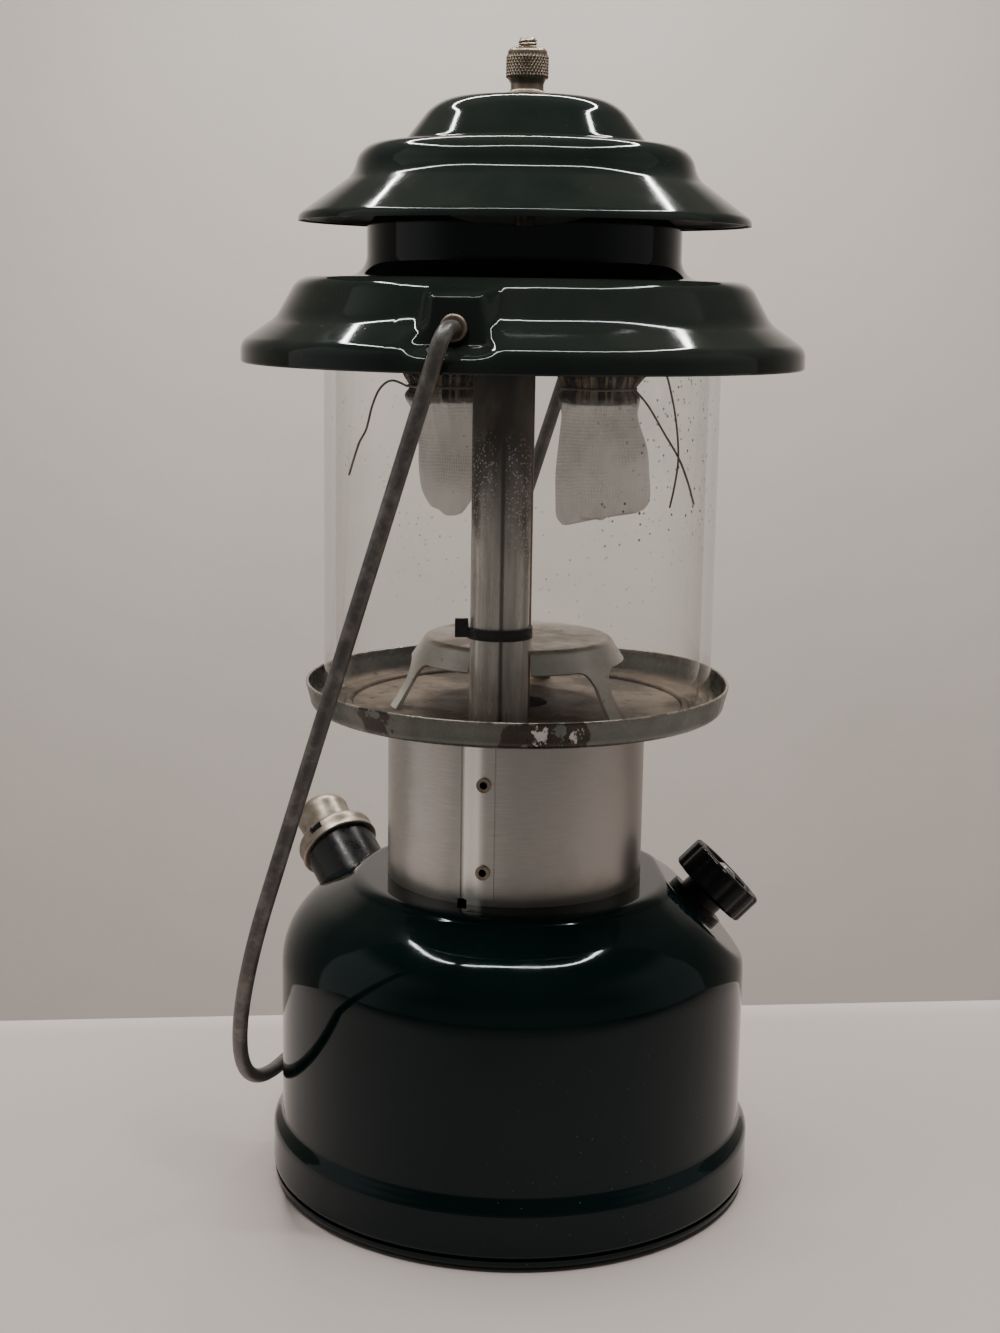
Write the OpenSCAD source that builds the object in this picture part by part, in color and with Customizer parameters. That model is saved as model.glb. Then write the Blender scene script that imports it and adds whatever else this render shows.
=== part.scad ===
// Two-mantle gas lantern: a fount with pump and valve, a collar, a globe over two burners,
// and a stepped ventilator that carries the bail.
// Millimetres. The origin is the centre of the foot, +Z is up and the viewer stands at -Y.

/* [Fount] */
// Diameter of the fount's straight wall
fount_d = 126; // [123:0.5:128]
// Height of the fount's flat top above the table
fount_h = 85; // [83:0.5:88]
// Radius of the rounded shoulder
shoulder_r = 22; // [20.5:0.5:23.5]
// How far the bead at the foot stands out from the wall
bead_over = 2.5; // [2:0.25:3]
// Thickness of the fount's and tray's sheet steel
sheet = 0.8; // [0.6:0.1:1]

/* [Collar and tray] */
// Outer diameter of the aluminium collar
collar_d = 68.8; // [68:0.2:71]
// Height of the collar between fount and tray
collar_h = 46; // [43:0.5:49]
// Height of the tray's upturned rim
tray_rim_h = 7.2; // [6:0.2:8]
// Gap between the globe's foot and the tray's rim
tray_gap = 3; // [2.5:0.25:3.5]
// Diameter of the heat shield's flat top
shield_d = 51; // [48:0.5:53]
// Height of the heat shield above the tray's floor
shield_h = 18; // [16:0.5:20]

/* [Globe] */
// Outer diameter of the glass
globe_d = 103; // [101:0.5:105]
// Height of the glass
globe_h = 110.6; // [108:0.2:113]
// Wall of the glass
globe_wall = 3; // [2.4:0.2:3.4]

/* [Burner] */
// Outer diameter of the air tube
tube_d = 15; // [13.5:0.5:15]
// Distance between the centres of the two mantles
mantle_gap = 40; // [39:0.5:42]
// Diameter of a burner cap
burner_d = 18.4; // [17.4:0.2:19]
// Hanging length of a mantle below its tie
mantle_l = 33.5; // [30:0.5:36]
// Outer diameter of the generator tube
generator_d = 7; // [6:0.2:7.6]
// Diameter of the stud through the ventilator
stud_d = 4.8; // [4.4:0.1:5.2]

/* [Ventilator] */
// Diameter of the lower brim
vent_d = 145.6; // [144:0.4:148]
// Height of the skirt from lip to shoulder
skirt_h = 21.8; // [21:0.2:23]
// Diameter of the skirt's shoulder
vent_shoulder_d = 120.4; // [119:0.2:122]
// Diameter of the windowed neck
neck_d = 81; // [79:0.5:83]
// Height from the shoulder to the upper brim's edge
neck_gap = 13.8; // [13:0.2:16]
// Diameter of the upper brim
brim_d = 116; // [114:0.5:118]
// Width of each window, in degrees round the neck
window_deg = 66; // [58:1:70]
// Thickness of the ventilator's sheet
vent_t = 0.8; // [0.6:0.1:1]
// Diameter of the knurled ball nut
ball_d = 10.6; // [10:0.2:11.4]

/* [Bail] */
// Diameter of the bail's wire
bail_wire = 3.9; // [3.6:0.1:4.2]
// Height of the hanging bail's lowest point
bail_low = 24; // [23:0.5:32]
// Turn of the bail's pivot line from front to back, in degrees
bail_turn = 13.5; // [10:0.5:17]

/* [Pump] */
// Outer diameter of the pump barrel
pump_d = 20.6; // [19.4:0.2:21.4]
// How far the barrel shows between the shoulder and its cap
pump_stand = 8.5; // [8:0.5:10]
// Length of the barrel inside the fount
pump_deep = 60; // [56:1:64]
// Diameter of the pump's knob
pump_knob_d = 16; // [14.8:0.2:17]
// Lean of the pump from upright, in degrees
pump_tilt = 56; // [53:1:58]
// Place of the pump round the fount, in degrees
pump_az = 144; // [140:1:148]
// Turn of the pump away from pointing straight out, in degrees
pump_swing = 20; // [16:1:24]

/* [Valve] */
// Diameter of the valve knob
knob_d = 23.5; // [21:0.5:25]
// Thickness of the valve knob
knob_h = 8.5; // [7.5:0.25:9.5]
// Number of flutes round the knob
knob_flutes = 14; // [10:1:18]
// Depth of the flat pressed into the shoulder for the valve
valve_flat = 5; // [4.5:0.25:5.5]
// Direction of the valve round the fount, in degrees
valve_az = 5; // [-3:1:12]

/* [Filler] */
// Diameter of the filler cap
filler_d = 30; // [28:0.5:31]
// Number of ribs round the filler cap
filler_ribs = 30; // [20:2:36]
// Direction of the filler round the fount, in degrees
filler_az = 80; // [75:1:86]

/* [Hidden] */

eps = 0.01;
big = 200;
turn_fn = 96;
round_fn = 48;
run_fit = 0.05;
free_fit = 0.4;

// lengths worked out from others are kept to a hundredth
function neat(v) = round(v * 100) / 100;

// fount: plateau, bevel, cone, shoulder arc, wall, bead
fount_r = fount_d / 2;
shoulder_x = fount_r - shoulder_r;
shoulder_z = fount_h - 25;
cone_deg = 30;
plateau_r = 43.5;
step_r = 6;
step_hollow = 4;
step_deg = 48;
step_x = plateau_r - step_r / 2;
step_z = fount_h - step_r;
bead_r = fount_r + bead_over;
bead_top = 18;
bead_low = 12;
foot_h = 3;
foot_inner = bead_r - 7;
dish_h = 5;

// collar, tray and shield
collar_r = collar_d / 2;
collar_t = 0.8;
collar_z = fount_h;
seam_az = 248.4;
seam_w = 1.3;
seam_deep = 0.45;
lap_deg = 13;
lap_t = 0.5;
lap_end = 2;
rivet_az = seam_az + 8.4;
rivet_r = 1.9;
rivet_bore = 1;
rivet_rise = [9, 32];
tray_z = fount_h + collar_h;
floor_z = tray_z + sheet;
globe_r = globe_d / 2;
tray_r = globe_r + tray_gap + sheet;
tray_flare = 1.1;
tray_corner = 2.5;
ridge_r = globe_r - globe_wall - 2.2;
ridge_h = 1.2;
shield_x = 0;
shield_y = 2;
shield_r = shield_d / 2;
shield_t = 0.8;
shield_skirt = 5.8;
shield_flare = 3;
shield_z = floor_z + shield_h;
shield_legs = [200, 318, 78];
leg_w = 4.6;
leg_foot = 9.5;
leg_root_w = 13;

// air tube, generator and burner
tube_r = tube_d / 2;
tube_t = 0.8;
tube_run = 25.8;
tube_az = -100.5;
tube_x = tube_run * cos(tube_az);
tube_y = tube_run * sin(tube_az);
tube_below = 11;
globe_top = floor_z + globe_h;
man_z = globe_top - 12;
man_r = 9.5;
man_h = 9;
arm_r = 6.3;
boss_r = tube_r + 0.9;
boss_out = man_r + 1.4;
bend_r = tube_run - boss_out;
clip_t = 0.9;
clip_h = 2.8;
clip_z = floor_z + 22;
clip_open = 70;
clip_turn = -4;
clip_tab = [3.4, 1.2, 4.8];
gen_r = generator_d / 2;
gen_bore = gen_r - 1.1;
block_r = 9;
block_h = 20;
nut_h = 7;
nut_r = 7.2;
gen_z = fount_h + block_h + nut_h;
needle_r = 0.9;
needle_tip = 0.35;
needle_guide = 3;
tip_h = 6;
tip_r = 2.3;
tip_bore = needle_tip + 0.3;
needle_travel = 3;
gen_top = man_z - man_h - 1;
pipe_r = 2.5;
elbow_r = 6;

burner_r = burner_d / 2;
burner_x = mantle_gap / 2;
burner_bore = burner_r - 1.8;
tie_z = globe_top - 26.9;
cap_low = 4;
cap_high = 7.5;
groove_h = 4.4;
groove_deep = 0.7;
screen_t = 0.6;
screen_hole = 0.8;
screen_ring = [2.4, 4.8];
screen_count = [6, 12];

// mantle sections below the tie: share of the length, half width, half depth, sideways drift
mantle_t = 0.45;
mantle_slack = 0.2;
mantle_sides = 48;
mantle_pleats = 12;
mantle_frill = 5.5;
tie_gap = 2.6;
rows_right = [
    [0.21, 1.00, 1.00, 0.02],
    [0.42, 1.12, 1.05, 0.08],
    [0.63, 1.22, 0.94, 0.13],
    [0.81, 1.26, 0.68, 0.18],
    [0.93, 1.24, 0.40, 0.19],
    [1.00, 1.08, 0.16, 0.19]];
rows_left = [
    [0.21, 0.97, 0.98, -0.12],
    [0.42, 0.90, 0.92, -0.20],
    [0.63, 0.86, 0.86, -0.20],
    [0.81, 0.74, 0.72, -0.16],
    [0.93, 0.50, 0.48, -0.12],
    [1.00, 0.20, 0.18, -0.10]];
tie_wire = 0.35;
tie_seat = 0.24;

// ventilator
vent_r = vent_d / 2;
vent_z = globe_top + vent_t;
lip_z = vent_z - skirt_h;
lip_h = 3.1;
lip_round = 4;
sh_r = vent_shoulder_d / 2;
sh_round = 5.5;
side_deg = 28;
flare_deg = 55;
hollow_r = 8;
hollow_x = vent_r - 3;
hollow_z = vent_z - 4.8;
neck_r = neck_d / 2;
neck_round = 5.5;
neck_foot = neck_r + neck_round + 0.6;
brim_z = vent_z + neck_gap;
brim_r = brim_d / 2;
land_z = brim_z + 17.4;
window_low = vent_z + 12;
window_sag = 4.4;
window_top = land_z - 5;
pad_w = 14;
pad_out = vent_r - 5.8;
pad_flank = 0.7;
pad_root = 12;
pad_low = lip_z + 6;
pad_high = vent_z - 2.6;
pivot_z = vent_z - 11.6;

// cap: dome, tier, flare and brim
cap_top = brim_z + 31.2;
dome_flat = 16.5;
dome_round = 12.2;
dome_deg = 38;
dome_x = dome_flat + dome_round * cos(dome_deg);
dome_z = cap_top - dome_round + dome_round * sin(dome_deg);
tier_z = cap_top - 11.7;
tier_round = 6.2;
tier_x = neck_r - 3.3;
tier_deg = 15;
tier_wall = 0.9;
crease_round = 1.6;
crease_z = tier_z + 0.55 + crease_round;
crease_x = dome_x + (dome_z - crease_z + crease_round * sin(dome_deg)) * tan(dome_deg)
    + crease_round * cos(dome_deg);
flare_round = 6.9;
flare_x = tier_x + (tier_round + flare_round) * cos(tier_deg) + tier_wall * sin(tier_deg);
flare_z = tier_z - tier_round + (tier_round + flare_round) * sin(tier_deg) - tier_wall * cos(tier_deg);
brim_deg = 54;
brim_round = 2.2;
brim_drop = 0.4;
stud_hole = stud_d / 2 + 0.5;

// bail and its eyelets
wire_r = bail_wire / 2;
bail_s = vent_r + wire_r + 0.65;
bail_rest = fount_r + wire_r + free_fit;
bail_drop = pivot_z - bail_low;
bail_l = neat(norm([bail_rest, bail_drop]));
bail_hang = atan2(bail_rest, bail_drop);
bail_bend = 4;
bail_end = pad_out - 5;
eye_bore = wire_r + run_fit;
eye_r = eye_bore + 1.35;
eye_barrel = eye_bore + 0.6;
eye_t = 1.2;

// ball nut and stud
stud_r = stud_d / 2;
ball_r = ball_d / 2;
ball_z = cap_top + 8.6;
ball_neck = ball_r - 1.2;
ball_flange = 1.5;
ball_bore = stud_r + 1.1;
ball_cut = 4;
insert_bore = stud_r + run_fit;
stud_top = ball_z + ball_cut + 2.2;
stud_foot = 5.2;

// pump, along its own axis from the shoulder's surface
pump_r = pump_d / 2;
pump_bore = pump_r - 1.5;
pump_low = 51;
pump_over = 3.5;
pump_top = pump_stand + pump_over;
pump_lid = 6;
pump_lid_r = pump_r + 1.2;
pump_lid_round = 2.4;
pump_plug = 5;
pump_notch = [3.4, 2.6];
pump_notch_az = 107;
rod_r = 2.4;
cup_h = 6;
cup_gap = 0.1;
cup_s = -46;
rod_foot = cup_s - 2;
knob_gap = 0.5;
pump_knob_r = pump_knob_d / 2;
pump_knob_h = 10.8;
pump_knob_wall = 1.2;
check_h = 9;
check_r = 3.5;

// valve, along its own axis from the shoulder's flat
valve_tilt = 45;
valve_up = 4.4;
valve_r = 7;
valve_deep = 22;
bonnet_r = 6.2;
bonnet_h = 4.4;
bonnet_flange = 8.6;
bonnet_flange_t = 1.6;
stem_r = 2.5;
stem_deep = 16;
knob_r = knob_d / 2;
knob_s = bonnet_h + 0.5;
knob_hub = 4;
knob_dish = 1.2;
flute_r = 1.7;
screw_r = 3;
screw_h = 1.4;

// filler, along its own axis from the cone of the shoulder
filler_r = filler_d / 2;
filler_at = 49;
filler_neck_r = filler_r - 2.6;
filler_bore = filler_neck_r - 2;
filler_neck_h = 7;
filler_deep = 5;
gasket_t = 1.2;
filler_lid = 3;
filler_skirt = 5.6;
rib_r = 0.7;

// places and directions
function polar(r, a) = [r * cos(a), r * sin(a)];
function arc(c, r, a0, a1, n) = [for (i = [0 : n]) c + polar(r, a0 + (a1 - a0) * i / n)];
function flip(line) = [for (i = [len(line) - 1 : -1 : 0]) line[i]];
function cone_z(r, o) = shoulder_z + (shoulder_r - o) * sin(90 - cone_deg)
    + (shoulder_x + (shoulder_r - o) * cos(90 - cone_deg) - r) * tan(cone_deg);

// valve seat: out from the shoulder's centre along the lean, and up the slope
valve_along = shoulder_r - valve_flat;
valve_at = [neat(shoulder_x + valve_along * sin(valve_tilt) - valve_up * cos(valve_tilt)),
    neat(shoulder_z + valve_along * cos(valve_tilt) + valve_up * sin(valve_tilt))];
pump_at = [neat(shoulder_x + shoulder_r * sin(pump_low)), neat(shoulder_z + shoulder_r * cos(pump_low))];
filler_seat = [filler_at, neat(cone_z(filler_at, 0))];

module lean(at, tilt, az) {
    rotate(az) translate([at[0], 0, at[1]]) rotate([0, tilt, 0]) children();
}
module on_pump() {
    rotate(pump_az) translate([pump_at[0], 0, pump_at[1]])
        rotate([0, pump_tilt, -pump_swing]) children();
}
module on_valve() { lean(valve_at, valve_tilt, valve_az) children(); }
module on_filler() { lean(filler_seat, cone_deg, filler_az) children(); }
module rod(r, s0, s1) { translate([0, 0, s0]) cylinder(r = r, h = s1 - s0, $fn = round_fn); }
module quarter_bend(bend, r) {
    rotate_extrude(angle = 90, $fn = turn_fn) translate([bend, 0]) circle(r = r, $fn = round_fn);
}
module pipe(r_out, r_in, s0, s1) {
    difference() {
        rod(r_out, s0, s1);
        rod(r_in, s0 - 1, s1 + 1);
    }
}

// the fount's outline from its axis to the bead, moved inwards by o
function fount_line(o) = concat(
    [[0, fount_h - o]],
    arc([step_x, step_z], step_r - o, 90, step_deg, 4),
    arc([step_x, step_z] + (step_r + step_hollow) * [cos(step_deg), sin(step_deg)], step_hollow + o,
        180 + step_deg, 270 - cone_deg, 2),
    arc([shoulder_x, shoulder_z], shoulder_r - o, 90 - cone_deg, 0, 7),
    arc([bead_r - o, bead_top], bead_over, 180, 222, 3),
    [[bead_r - o, bead_low - bead_over / 2], [bead_r - o, foot_h], [0, foot_h]]);

module fount_form(o) {
    difference() {
        rotate_extrude($fn = turn_fn) polygon(fount_line(o));
        on_valve() translate([-big / 2, -big / 2, -o]) cube([big, big, big]);
    }
}
module fount_shell() {
    color("#10201c") difference() {
        fount_form(0);
        translate([0, 0, -eps]) fount_form(sheet);
        on_pump() rod(pump_r, -big / 4, big / 4);
        on_valve() rod(valve_r, -big / 8, big / 8);
        on_filler() rod(filler_neck_r, -big / 8, big / 8);
        rod(pipe_r, 0, big);
    }
}
module fount_base() {
    color("#10201c") rotate_extrude($fn = turn_fn) polygon(concat(
        [[0, dish_h], [foot_inner, dish_h]],
        [[foot_inner, 0]],
        arc([bead_r - foot_h, foot_h], foot_h, -90, 0, 5),
        [[foot_inner + 2, foot_h], [foot_inner + 1, dish_h + sheet], [0, dish_h + sheet]]));
}

// filler
module filler_neck() {
    color("#b8964e") on_filler() pipe(filler_neck_r, filler_bore, -filler_deep, filler_neck_h);
}
module filler_gasket() {
    color("#1b1b1b") on_filler()
        pipe(filler_neck_r, filler_bore, filler_neck_h, filler_neck_h + gasket_t - run_fit);
}
module filler_cap() {
    lid_s = filler_neck_h + gasket_t;
    skirt_r = filler_neck_r + free_fit;
    color("#1c1c1c") on_filler() difference() {
        union() {
            rod(filler_r - rib_r / 2, lid_s - filler_skirt, lid_s + filler_lid);
            for (i = [0 : filler_ribs - 1]) rotate(i * 360 / filler_ribs)
                translate([filler_r - rib_r, 0, 0])
                    rod(rib_r, lid_s - filler_skirt + rib_r, lid_s + filler_lid - rib_r);
        }
        rod(skirt_r, lid_s - filler_skirt - 1, lid_s);
    }
}

// pump
module pump_barrel() {
    color("#10201c") on_pump() pipe(pump_r, pump_bore, -pump_deep, pump_top);
}
module pump_cap() {
    color("#c9c3b6") on_pump() difference() {
        union() {
            rotate_extrude($fn = turn_fn) polygon(concat(
                [[pump_r, pump_stand], [pump_lid_r, pump_stand]],
                arc([pump_lid_r - pump_lid_round, pump_stand + pump_lid - pump_lid_round],
                    pump_lid_round, 0, 90, 4),
                [[0, pump_stand + pump_lid], [0, pump_top], [pump_r, pump_top]]));
            rod(pump_bore, pump_top - pump_plug, pump_top + eps);
        }
        rod(rod_r + 2 * run_fit, pump_top - pump_plug - 1, pump_stand + pump_lid + 1);
        rotate(pump_notch_az) translate([pump_lid_r - pump_notch[1], -pump_notch[0] / 2, pump_top])
            cube([2 * pump_notch[1], pump_notch[0], 2 * pump_lid]);
    }
}
module pump_cup() {
    color("#6b4a2c") on_pump() difference() {
        rod(pump_bore - cup_gap, cup_s, cup_s + cup_h);
        rod(rod_r + run_fit, cup_s - 1, cup_s + cup_h + 1);
        rod(pump_bore - 2, cup_s - 1, cup_s + cup_h / 2);
    }
}
module pump_rod() {
    color("#b9b9b9") on_pump() {
        rod(rod_r, rod_foot, pump_stand + pump_lid + knob_gap + pump_knob_h / 2);
        rod(rod_r + 2, rod_foot, cup_s + cup_h / 2 - free_fit);
    }
}
module pump_knob() {
    s0 = pump_stand + pump_lid + knob_gap;
    dome = pump_knob_h * 0.4;
    color("#c9c3b6") on_pump() difference() {
        rotate_extrude($fn = turn_fn) polygon(concat(
            [[0, s0], [pump_knob_r, s0], [pump_knob_r, s0 + pump_knob_h - dome]],
            arc([pump_knob_r - dome, s0 + pump_knob_h - dome], dome, 15, 90, 5),
            [[0, s0 + pump_knob_h]]));
        rod(rod_r, s0 - 1, s0 + pump_knob_h / 2);
        pipe(pump_knob_r - pump_knob_wall, rod_r + pump_knob_wall, s0 - 1, s0 + pump_knob_h / 2);
    }
}
module pump_check_valve() {
    color("#b8964e") on_pump() {
        rod(pump_bore, -pump_deep, -pump_deep + check_h / 2);
        rod(check_r, -pump_deep - check_h, -pump_deep);
    }
}

// valve
module valve_body() {
    color("#b8964e") on_valve() difference() {
        rod(valve_r, -valve_deep, 0);
        rod(stem_r + run_fit, -stem_deep - 1, 1);
    }
}
module valve_bonnet() {
    color("#141414") on_valve() difference() {
        union() {
            rod(bonnet_flange, 0, bonnet_flange_t);
            rod(bonnet_r, 0, bonnet_h);
        }
        rod(stem_r + run_fit, -1, bonnet_h + 1);
    }
}
module valve_stem() {
    color("#b9b9b9") on_valve() rod(stem_r, -stem_deep, knob_s + knob_h - knob_dish);
}
module valve_knob() {
    color("#101010") on_valve() difference() {
        rotate_extrude($fn = turn_fn) polygon([[0, knob_s], [knob_r - 1, knob_s],
            [knob_r, knob_s + 1], [knob_r, knob_s + knob_h - 1], [knob_r - 1, knob_s + knob_h],
            [knob_r - 2.5, knob_s + knob_h], [knob_r - 3.2, knob_s + knob_h - knob_dish],
            [0, knob_s + knob_h - knob_dish]]);
        rod(stem_r, knob_s - 1, knob_s + knob_h);
        pipe(knob_r - 2, knob_hub, knob_s - 1, knob_s + knob_h / 2);
        for (i = [0 : knob_flutes - 1]) rotate((i + 0.5) * 360 / knob_flutes)
            translate([knob_r + flute_r * 0.6, 0, 0]) rod(flute_r, knob_s - 1, knob_s + knob_h + 1);
    }
}
module valve_screw() {
    s0 = knob_s + knob_h - knob_dish;
    color("#b9b9b9") on_valve() rotate_extrude($fn = round_fn) polygon([[0, s0], [screw_r, s0],
        [screw_r, s0 + screw_h / 2], [screw_r * 0.7, s0 + screw_h], [0, s0 + screw_h]]);
}

// fuel path inside the fount and collar
module pickup_tube() {
    inner = valve_at + (valve_deep - valve_r / 2) * [-sin(valve_tilt), -cos(valve_tilt)];
    color("#b8964e") difference() {
        rotate(valve_az) translate([inner[0], 0, 0]) pipe(pipe_r, pipe_r - 0.8, 2 * dish_h, inner[1]);
        on_valve() rod(valve_r, -valve_deep, 0);
    }
}
module fuel_pipe() {
    inner = valve_at + (valve_deep - 2 * pipe_r) * [-sin(valve_tilt), -cos(valve_tilt)];
    color("#b8964e") difference() {
        rotate(valve_az) {
            translate([0, 0, inner[1]]) rotate([0, 90, 0]) rod(pipe_r, elbow_r, inner[0]);
            translate([elbow_r, 0, inner[1] + elbow_r]) rotate([90, 0, 0]) rotate(180)
                quarter_bend(elbow_r, pipe_r);
            rod(pipe_r, inner[1] + elbow_r, fount_h);
        }
        on_valve() rod(valve_r, -valve_deep, 0);
    }
}
module generator_block() {
    color("#b8964e") difference() {
        translate([0, 0, fount_h]) cylinder(r = block_r, h = block_h, $fn = 6);
        rod(gen_bore, fount_h + block_h / 4, fount_h + block_h + 1);
    }
}
module generator_nut() {
    color("#b8964e") difference() {
        translate([0, 0, fount_h + block_h]) cylinder(r = nut_r, h = nut_h, $fn = 6);
        rod(gen_bore, fount_h, gen_z + 1);
    }
}
module generator_tube() {
    color("#7a5a32") pipe(gen_r, gen_bore, gen_z, gen_top);
}
module gas_tip() {
    color("#b8964e") difference() {
        rotate_extrude($fn = round_fn) polygon([[0, gen_top], [gen_r, gen_top],
            [gen_r, gen_top + 1], [tip_r, gen_top + 2], [tip_r * 0.6, gen_top + tip_h],
            [0, gen_top + tip_h]]);
        rod(tip_bore, gen_top - 1, gen_top + tip_h + 1);
    }
}
module generator_needle() {
    foot = fount_h + block_h / 4 + 1;
    color("#b9b9b9") {
        rod(gen_bore - 0.3, foot, foot + needle_guide);
        rod(needle_r, foot, gen_top - needle_travel - 1);
        rod(needle_tip, foot, gen_top - 1);
    }
}

// collar and tray
module collar() {
    color("#c8c6c0") difference() {
        union() {
            pipe(collar_r, collar_r - collar_t, collar_z, tray_z);
            rotate(seam_az) rotate_extrude(angle = lap_deg, $fn = turn_fn)
                translate([collar_r - eps, collar_z + lap_end])
                    square([lap_t + eps, collar_h - 2 * lap_end]);
        }
        rotate(seam_az) translate([collar_r - seam_deep, -seam_w, collar_z - 1])
            cube([seam_deep + lap_t + 1, seam_w, collar_h + 2]);
        rotate(seam_az) translate([0, -1.5 * seam_w, collar_z - 1])
            cube([2 * collar_r, 2 * seam_w, 1 + seam_w]);
        for (h = rivet_rise) rotate(rivet_az) translate([0, 0, collar_z + h]) rotate([0, 90, 0])
            rod(rivet_r * 0.7, collar_r - 2, collar_r + 2);
    }
}
module collar_rivets() {
    face = collar_r + lap_t;
    color("#8f8c84") for (h = rivet_rise) rotate(rivet_az) translate([0, 0, collar_z + h])
        rotate([0, 90, 0]) difference() {
            union() {
                rod(rivet_r, face, face + lap_t);
                rod(rivet_r * 0.7, collar_r - collar_t - lap_t, face + lap_t / 2);
            }
            rod(rivet_bore, collar_r - 3, face + 2);
        }
}
function tray_line(o) = concat(
    [[0, tray_z + o]],
    arc([tray_r - tray_corner, tray_z + tray_corner], tray_corner - o, -90, 0, 4),
    [[tray_r + tray_flare - o, tray_z + tray_rim_h]]);
module globe_tray() {
    color("#6d6a5c") difference() {
        union() {
            rotate_extrude($fn = turn_fn)
                polygon(concat(tray_line(0), flip(tray_line(sheet))));
            rotate_extrude($fn = turn_fn)
                polygon(concat([[ridge_r - 2 * ridge_h, floor_z - sheet / 2]],
                    [[ridge_r, floor_z - sheet / 2]],
                    [[ridge_r, floor_z]], arc([ridge_r - ridge_h, floor_z], ridge_h, 20, 160, 4),
                    [[ridge_r - 2 * ridge_h, floor_z]]));
        }
        rod(nut_r + 1, tray_z - 1, floor_z + 1);
        translate([tube_x, tube_y, 0]) rod(tube_r, tray_z - 1, floor_z + 2);
    }
}

// heat shield: flat top, flared skirt and three legs with wide roots
module leg_face(low) {
    fillet = (leg_root_w - leg_w) / 2;
    polygon(concat(arc([leg_root_w / 2, low - fillet], fillet, 90, 180, 5),
        [[leg_w / 2, floor_z], [-leg_w / 2, floor_z]],
        arc([-leg_root_w / 2, low - fillet], fillet, 0, 90, 5)));
}
module heat_shield() {
    low = shield_z - shield_skirt;
    r0 = shield_r + shield_flare;
    r1 = shield_r + leg_foot;
    color("#cfc8ba") difference() {
        translate([shield_x, shield_y, 0]) {
            rotate_extrude($fn = turn_fn) polygon([[0, shield_z - shield_t],
                [shield_r - 0.6, shield_z - shield_t], [r0 - shield_t, low], [r0, low],
                [shield_r + 0.8, shield_z - 0.9], [shield_r - 0.4, shield_z], [0, shield_z]]);
            intersection() {
                rotate_extrude($fn = turn_fn) polygon([[r0 - shield_t, low], [r0, low],
                    [r1, floor_z], [r1 - shield_t, floor_z]]);
                for (a = shield_legs) rotate(a) rotate([90, 0, 90]) linear_extrude(big) leg_face(low);
            }
        }
        rod(gen_r + 1.5, floor_z, shield_z + 1);
        translate([tube_x, tube_y, 0]) rod(tube_r + 2 * free_fit, floor_z - 1, shield_z + 1);
        translate([tube_x - tube_r - 2 * free_fit, tube_y - big, floor_z - 1])
            cube([tube_d + 4 * free_fit, big, shield_h + 2]);
    }
}

// air tube: straight up, then bent over to the manifold's boss
module air_tube() {
    bore = tube_r - tube_t;
    bend_z = man_z - bend_r;
    color("#7d7a72") rotate(tube_az) {
        translate([tube_run, 0, 0]) pipe(tube_r, bore, tray_z - tube_below, bend_z);
        translate([boss_out, 0, bend_z]) rotate([90, 0, 0])
            rotate_extrude(angle = 90, $fn = turn_fn) translate([bend_r, 0]) difference() {
                circle(r = tube_r, $fn = round_fn);
                circle(r = bore, $fn = round_fn);
            }
    }
}
module tube_clip() {
    color("#1a1a1c") translate([tube_x, tube_y, clip_z]) {
        rotate(180 - clip_turn) rotate_extrude(angle = 360 - clip_open, $fn = turn_fn)
            translate([tube_r, 0]) square([clip_t, clip_h]);
        rotate(180 - clip_turn) translate([tube_r + clip_t / 2, 0, 0])
            cube([clip_tab[0], clip_tab[1], clip_tab[2]]);
    }
}

// burner
module manifold() {
    color("#5a564e") difference() {
        union() {
            rod(man_r, man_z - man_h, man_z + man_h);
            translate([0, 0, man_z]) rotate([0, 90, 0]) rod(arm_r, -burner_x, burner_x);
            for (s = [-1, 1]) translate([s * burner_x, 0, 0]) {
                rod(burner_bore, tie_z + cap_high - 3, man_z);
                translate([0, 0, man_z]) sphere(r = burner_bore, $fn = round_fn);
            }
            rotate(tube_az) translate([0, 0, man_z]) rotate([0, 90, 0]) rod(boss_r, 0, boss_out);
        }
        rod(gen_r + 1, man_z - man_h - 1, gen_top + tip_h + 2);
    }
}
module burner_caps() {
    low = tie_z - cap_low;
    color("#8a8474") for (s = [-1, 1]) translate([s * burner_x, 0, 0]) rotate_extrude($fn = turn_fn)
        polygon([[burner_bore, low], [burner_r - 0.3, low], [burner_r, low + 0.3],
            [burner_r, tie_z - groove_h / 2], [burner_r - groove_deep, tie_z - groove_h / 2 + groove_deep],
            [burner_r - groove_deep, tie_z + groove_h / 2 - groove_deep], [burner_r, tie_z + groove_h / 2],
            [burner_r, tie_z + cap_high - 2], [burner_r - 1, tie_z + cap_high],
            [burner_bore, tie_z + cap_high]]);
}
module burner_screens() {
    low = tie_z - cap_low + screen_t;
    color("#9a9a98") for (s = [-1, 1]) translate([s * burner_x, 0, 0]) difference() {
        rod(burner_bore, low, low + screen_t);
        rod(screen_hole, low - 1, low + 2);
        for (k = [0 : len(screen_ring) - 1], i = [0 : screen_count[k] - 1])
            rotate(i * 360 / screen_count[k]) translate([screen_ring[k], 0, 0])
                rod(screen_hole, low - 1, low + 2);
    }
}

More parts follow.
